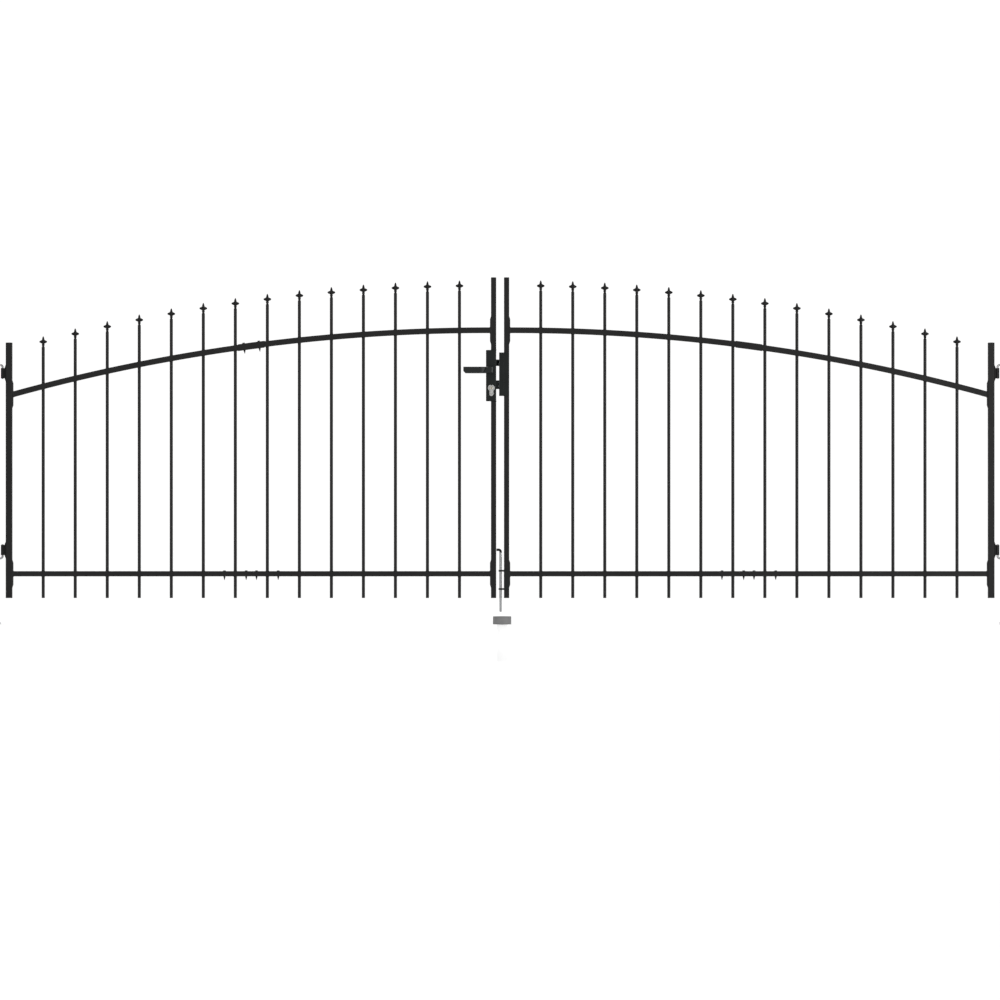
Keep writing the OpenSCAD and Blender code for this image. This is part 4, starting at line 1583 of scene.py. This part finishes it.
front = lever_parts(-1)
front.append(
    block_in(
        (spindle_x - spindle_w / 2, case_low.y - 2 * MM, spindle_z - spindle_w / 2),
        (spindle_x + spindle_w / 2, case_high.y + 2 * MM, spindle_z + spindle_w / 2),
        0.8 * MM,
        0.4 * MM,
    )
)
make_piece("front_lever_casting", front, lever_black, "levers", ["front_lever"])
make_piece("back_lever_casting", lever_parts(1), lever_black, "levers", ["back_lever"])


# ---- Latch and deadbolt ----
# Two steel bolts slide out of the lock's front plate. The latch has a bevelled nose that rides over
# the keep as the leaf closes. The deadbolt has a square end, hollowed behind to clear the cylinder.

latch_nose = 2 * MM
latch_bevel = 8 * MM
bolt_edge = 0.7 * MM
bolt_nose_on = 0.8 * MM
dead_travel = 10.5 * MM
dead_hollow_r = cyl_r + 0.5 * MM
dead_hollow_start = 84

half_t = (latch_high.y - latch_low.y) / 2
tail_x, tip_x = latch_low.x, latch_high.x + bolt_nose_on
latch_outline = [
    (tail_x, -half_t),
    (tip_x - latch_bevel, -half_t),
    (tip_x - latch_bevel * 0.5, -half_t * 0.45),
    (tip_x, half_t - latch_nose),
    (tip_x, half_t),
    (tail_x, half_t),
]
latch_plate = cut_plate([latch_outline], latch_high.z - latch_low.z, bolt_edge)
make_piece(
    "bevelled_latch",
    [placed(latch_plate, at(0, 0, (latch_low.z + latch_high.z) / 2))],
    lock_black,
    "latch",
    ["latch_bolt"],
)
tail_low_z = cyl_high.z + 1.5 * MM
dead_tip_x = dead_high.x + bolt_nose_on
hollow_x = spindle_x + dead_travel
dead_outline = [(dead_low.x, dead_high.z), (dead_low.x, tail_low_z), (hollow_x, tail_low_z)]
hollow_end = math.degrees(math.asin((dead_low.z - cyl_z) / dead_hollow_r))
for step in range(13):
    angle = math.radians(dead_hollow_start + (hollow_end - dead_hollow_start) * step / 12)
    dead_outline.append(
        (hollow_x + dead_hollow_r * math.cos(angle), cyl_z + dead_hollow_r * math.sin(angle))
    )
dead_outline += [(dead_tip_x, dead_low.z), (dead_tip_x, dead_high.z)]
dead_plate = cut_plate([dead_outline], dead_high.y - dead_low.y, bolt_edge)
make_piece(
    "square_deadbolt",
    [placed(dead_plate, at(0, (dead_low.y + dead_high.y) / 2, 0) @ faces_front)],
    lock_black,
    "deadbolt",
    ["dead_bolt"],
)


# ---- Keep ----
# A pressed steel box on the right lock stile, which catches both bolts in two windows. It is folded
# from sheet, open to the stile, and its front and back flanges lie on the stile and are welded to it.

keep_wall = 3 * MM
keep_edge = 0.8 * MM
fold_corner = 0.9 * MM
window_t = 15 * MM
window_gap = 1.5 * MM
keep_weld, keep_bead_l = 1.2 * MM, 18 * MM

keep_low, keep_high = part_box("keep")
right_stile_low, right_stile_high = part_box("right_lock_stile")
keep_mid_z, keep_tall = (keep_low.z + keep_high.z) / 2, keep_high.z - keep_low.z
windows = [rounded_outline(keep_high.y - keep_low.y, keep_tall, 2 * MM)]
for bolt_low, bolt_high in ((latch_low, latch_high), (dead_low, dead_high)):
    tall = bolt_high.z - bolt_low.z + 2 * window_gap
    middle_z = (bolt_low.z + bolt_high.z) / 2 - keep_mid_z
    windows.append([(a, b + middle_z) for a, b in rounded_outline(window_t, tall, 1.5 * MM, 3)])
strike = cut_plate(windows, keep_wall, keep_edge)
parts = [placed(strike, at(keep_low.x + keep_wall / 2, 0, keep_mid_z) @ faces_gap)]
flange_y = right_stile_high.y
for way in (-1, 1):
    inner, outer = sorted((way * (keep_high.y - keep_wall), way * keep_high.y))
    parts.append(
        block_in(
            (keep_low.x + 0.8 * MM, inner, keep_low.z),
            (right_stile_low.x + 0.4 * MM, outer, keep_high.z),
            fold_corner,
            keep_edge,
        )
    )
    inner, outer = sorted((way * flange_y, way * (flange_y + keep_wall)))
    parts.append(
        block_in(
            (right_stile_low.x - 1.4 * MM, inner, keep_low.z),
            (keep_high.x, outer, keep_high.z),
            fold_corner,
            keep_edge,
        )
    )
    x, y = keep_high.x - 0.2 * MM, way * (flange_y + 0.2 * MM)
    for share in (0.12, 0.45, 0.78):
        start_z = keep_low.z + keep_tall * share
        path = stepped((x, y, start_z), (x, y, start_z + keep_bead_l), weld_step)
        parts.append(weld_bead(path, keep_weld, 80 + way))
for z in (keep_low.z, keep_high.z - keep_wall):
    parts.append(
        block_in(
            (keep_low.x + 0.8 * MM, keep_low.y + 0.8 * MM, z),
            (right_stile_low.x + 0.1 * MM, keep_high.y - 0.8 * MM, z + keep_wall),
            fold_corner,
            keep_edge,
        )
    )
make_piece("keep_pressing", parts, lock_black, "right_leaf", ["keep"])


# ---- Drop bolt and its bracket ----
# A steel bracket is welded on the front of the right lock stile, with two drilled lugs in the gap. A
# zinc-plated round bolt slides in them, and its bent handle has a dipped black grip.

lug_t, lug_edge = 7 * MM, 0.8 * MM
bracket_t, bracket_edge = 3 * MM, 0.7 * MM
bracket_weld = 1.1 * MM
bolt_r = 5 * MM
bore_r = 5.15 * MM
handle_bend_r = 8 * MM
grip_from_handle = 11 * MM

bright_zinc = make_finish(
    "bright_zinc",
    metal_skin,
    {
        "Colour": (0.31, 0.315, 0.32, 1),
        "Dull colour": (0.2, 0.205, 0.21, 1),
        "Roughness": 0.07,
        "Spangle scale": 500.0,
        "Brushing": 0.25,
    },
    0.02 * MM,
    {"Metallic": 1.0},
)

bracket_low, bracket_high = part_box("bolt_bracket")
rod_low, rod_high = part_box("drop_bolt")
rod_x = rod_high.x - bolt_r
handle_z = rod_high.z - bolt_r
parts = [
    block_in(
        (right_stile_low.x - 0.4 * MM, bracket_low.y, bracket_low.z),
        (bracket_high.x, bracket_low.y + bracket_t, bracket_high.z),
        1.2 * MM,
        bracket_edge,
    )
]
nose_r = rod_x - bracket_low.x
for z in (bracket_low.z + lug_t / 2, bracket_high.z - lug_t / 2):
    back_x = right_stile_low.x - rod_x
    outline = [(back_x, bracket_low.y + 0.4 * MM), (back_x, bracket_high.y), (0.0, bracket_high.y)]
    for step in range(1, 12):
        angle = math.radians(90 + 90 * step / 12)
        outline.append((nose_r * math.cos(angle), bracket_high.y * math.sin(angle)))
    outline += [
        (-nose_r, 0.0),
        (-nose_r, -bracket_high.y * 0.6),
        (-nose_r + 5 * MM, bracket_low.y + 0.4 * MM),
    ]
    lug = cut_plate([outline, round_outline(bore_r, 32)], lug_t, lug_edge)
    parts.append(placed(lug, at(rod_x, 0, z)))
    for way in (-1, 1):
        face_z = z + way * lug_t / 2
        path = stepped(
            (right_stile_low.x, -9 * MM, face_z),
            (right_stile_low.x, bracket_high.y - MM, face_z),
            weld_step,
        )
        parts.append(weld_bead(path, bracket_weld, 90 + way))
for z in (bracket_low.z, bracket_high.z):
    y = bracket_low.y + bracket_t - 0.5 * MM
    path = stepped((right_stile_low.x + 2 * MM, y, z), (bracket_high.x - 2 * MM, y, z), weld_step)
    parts.append(weld_bead(path, bracket_weld, 95))
make_piece("drilled_bolt_bracket", parts, lock_black, "right_leaf", ["bolt_bracket"])

straight_top_z = handle_z - handle_bend_r
grip_z = handle_z - grip_from_handle
point_z = rod_low.z + 2 * MM
path = [(rod_x, rod_low.z), (rod_x, rod_low.z + 1.2 * MM), (rod_x, point_z)]
radii = [bolt_r - 1.6 * MM, bolt_r - 0.3 * MM, bolt_r]
for share in (0.3, 0.6, 1.0):
    path.append((rod_x, point_z + share * (grip_z - rod_low.z - 2 * MM)))
    radii.append(bolt_r)
make_piece(
    "round_drop_bolt",
    [bent_rod(path, radii, 32)],
    bright_zinc,
    "drop_bolt",
    ["drop_bolt"],
)
path = [(rod_x, grip_z), (rod_x, grip_z + 0.3 * MM), (rod_x, straight_top_z)]
radii = [bolt_r - 0.4 * MM, bolt_r, bolt_r]
for step in range(1, 13):
    angle = math.radians(90 * step / 12)
    path.append(
        (
            rod_x - handle_bend_r * (1 - math.cos(angle)),
            straight_top_z + handle_bend_r * math.sin(angle),
        )
    )
    radii.append(bolt_r)
for inset, radius in ((1.4 * MM, bolt_r), (0.4 * MM, bolt_r - 0.5 * MM), (0.0, bolt_r - 1.6 * MM)):
    path.append((rod_low.x + inset, handle_z))
    radii.append(radius)
make_piece(
    "dipped_handle_grip",
    [bent_rod(path, radii, 32)],
    black_plastic,
    "drop_bolt",
)


# ---- Ground socket ----
# A white plastic tube set in the ground takes the drop bolt. A thick grey plastic collar with two
# shallow grooves stands on the ground round its mouth, and keeps wheels and dirt off it.

socket_bore_r = 19 * MM
collar_ease = 1.6 * MM
groove = 0.5 * MM

grey_plastic = make_finish(
    "grey_plastic",
    moulded_skin,
    {
        "Colour": (0.136, 0.136, 0.136, 1),
        "Scuff colour": (0.166, 0.166, 0.166, 1),
        "Roughness": 0.55,
        "Grain scale": 900.0,
    },
    0.08 * MM,
    {"Specular IOR Level": 0.35},
)
white_plastic = make_finish(
    "white_plastic",
    moulded_skin,
    {
        "Colour": (0.68, 0.68, 0.68, 1),
        "Scuff colour": (0.63, 0.63, 0.63, 1),
        "Roughness": 0.4,
        "Grain scale": 900.0,
    },
    0.03 * MM,
    {},
)

collar_low, collar_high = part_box("socket_collar")
tube_low, tube_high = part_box("socket_tube")
socket_x = (collar_low.x + collar_high.x) / 2
collar_r, collar_top = (collar_high.x - collar_low.x) / 2, collar_high.z
tube_r = (tube_high.x - tube_low.x) / 2
collar_profile = [(socket_bore_r, 0), (collar_r - 0.6 * MM, 0), (collar_r, 0.6 * MM)]
for z in (4 * MM, 26 * MM):
    collar_profile += [
        (collar_r, z),
        (collar_r - groove, z + 0.4 * MM),
        (collar_r - groove, z + 1.4 * MM),
        (collar_r, z + 1.8 * MM),
    ]
for step in range(5):
    angle = math.radians(90 * step / 4)
    collar_profile.append(
        (
            collar_r - collar_ease * (1 - math.cos(angle)),
            collar_top - collar_ease * (1 - math.sin(angle)),
        )
    )
collar_profile += [
    (socket_bore_r + 2 * MM, collar_top),
    (socket_bore_r + 0.6 * MM, collar_top - 0.5 * MM),
    (socket_bore_r, collar_top - 2 * MM),
]
make_piece(
    "grooved_collar",
    [placed(lofted(turned(collar_profile, 72), loop=True), at(socket_x, 0, 0))],
    grey_plastic,
    "posts",
    ["socket_collar"],
)
tube_profile = [
    (socket_bore_r, tube_low.z),
    (tube_r - 0.5 * MM, tube_low.z),
    (tube_r, tube_low.z + 0.5 * MM),
    (tube_r, tube_high.z),
    (socket_bore_r, tube_high.z),
]
make_piece(
    "buried_tube",
    [placed(lofted(turned(tube_profile, 56), loop=True), at(socket_x, 0, 0))],
    white_plastic,
    "posts",
    ["socket_tube"],
)


# ---- Floor, light and camera ----
# A plain white studio floor, translucent enough to show the tube set in the ground, under even soft
# light. The camera stands square in front of the gate, a long way off.

floor_half = 60.0
floor_z = -0.4 * MM
floor_corners = [
    (gate_mid_x + sx * floor_half, sy * floor_half, floor_z)
    for sx, sy in ((-1, -1), (1, -1), (1, 1), (-1, 1))
]
floor_mesh = bpy.data.meshes.new("floor")
floor_mesh.from_pydata(floor_corners, [], [(0, 1, 2, 3)])
floor = bpy.data.objects.new("floor", floor_mesh)
bpy.context.scene.collection.objects.link(floor)
floor_finish = bpy.data.materials.new("studio_floor")
floor_finish.use_nodes = True
floor_shader = floor_finish.node_tree.nodes["Principled BSDF"]
floor_shader.inputs["Base Color"].default_value = (0.97, 0.97, 0.97, 1)
floor_shader.inputs["Roughness"].default_value = 0.9
floor_shader.inputs["Specular IOR Level"].default_value = 0.1
floor_shader.inputs["Alpha"].default_value = 0.5
floor_mesh.materials.append(floor_finish)

world = bpy.data.worlds.new("studio")
world.use_nodes = True
world.node_tree.nodes["Background"].inputs["Color"].default_value = (1, 1, 1, 1)
world.node_tree.nodes["Background"].inputs["Strength"].default_value = 1.04
bpy.context.scene.world = world
bpy.context.scene.view_settings.view_transform = "Standard"

for name, spot, size, power in (
    ("soft_key", (-1.5, -4.5, 4.2), 3.5, 80),
    ("soft_fill", (6.5, -4.0, 0.95), 1.2, 120),
    ("soft_back", (2.0, 4.5, 3.8), 4.0, 60),
):
    lamp = bpy.data.lights.new(name, "AREA")
    lamp.size, lamp.energy = size, power
    light = bpy.data.objects.new(name, lamp)
    light.location = spot
    aim = Vector((gate_mid_x, 0, 0.6)) - Vector(spot)
    light.rotation_euler = aim.to_track_quat("-Z", "Y").to_euler()
    bpy.context.scene.collection.objects.link(light)

lens = bpy.data.cameras.new("camera")
lens.lens, lens.sensor_width = 270, 36
lens.clip_start, lens.clip_end = 1, 300
camera = bpy.data.objects.new("camera", lens)
camera.location = (gate_mid_x - 0.4 * MM, -30, 0.497)
camera.rotation_euler = (math.radians(90), 0, 0)
bpy.context.scene.collection.objects.link(camera)
bpy.context.scene.camera = camera
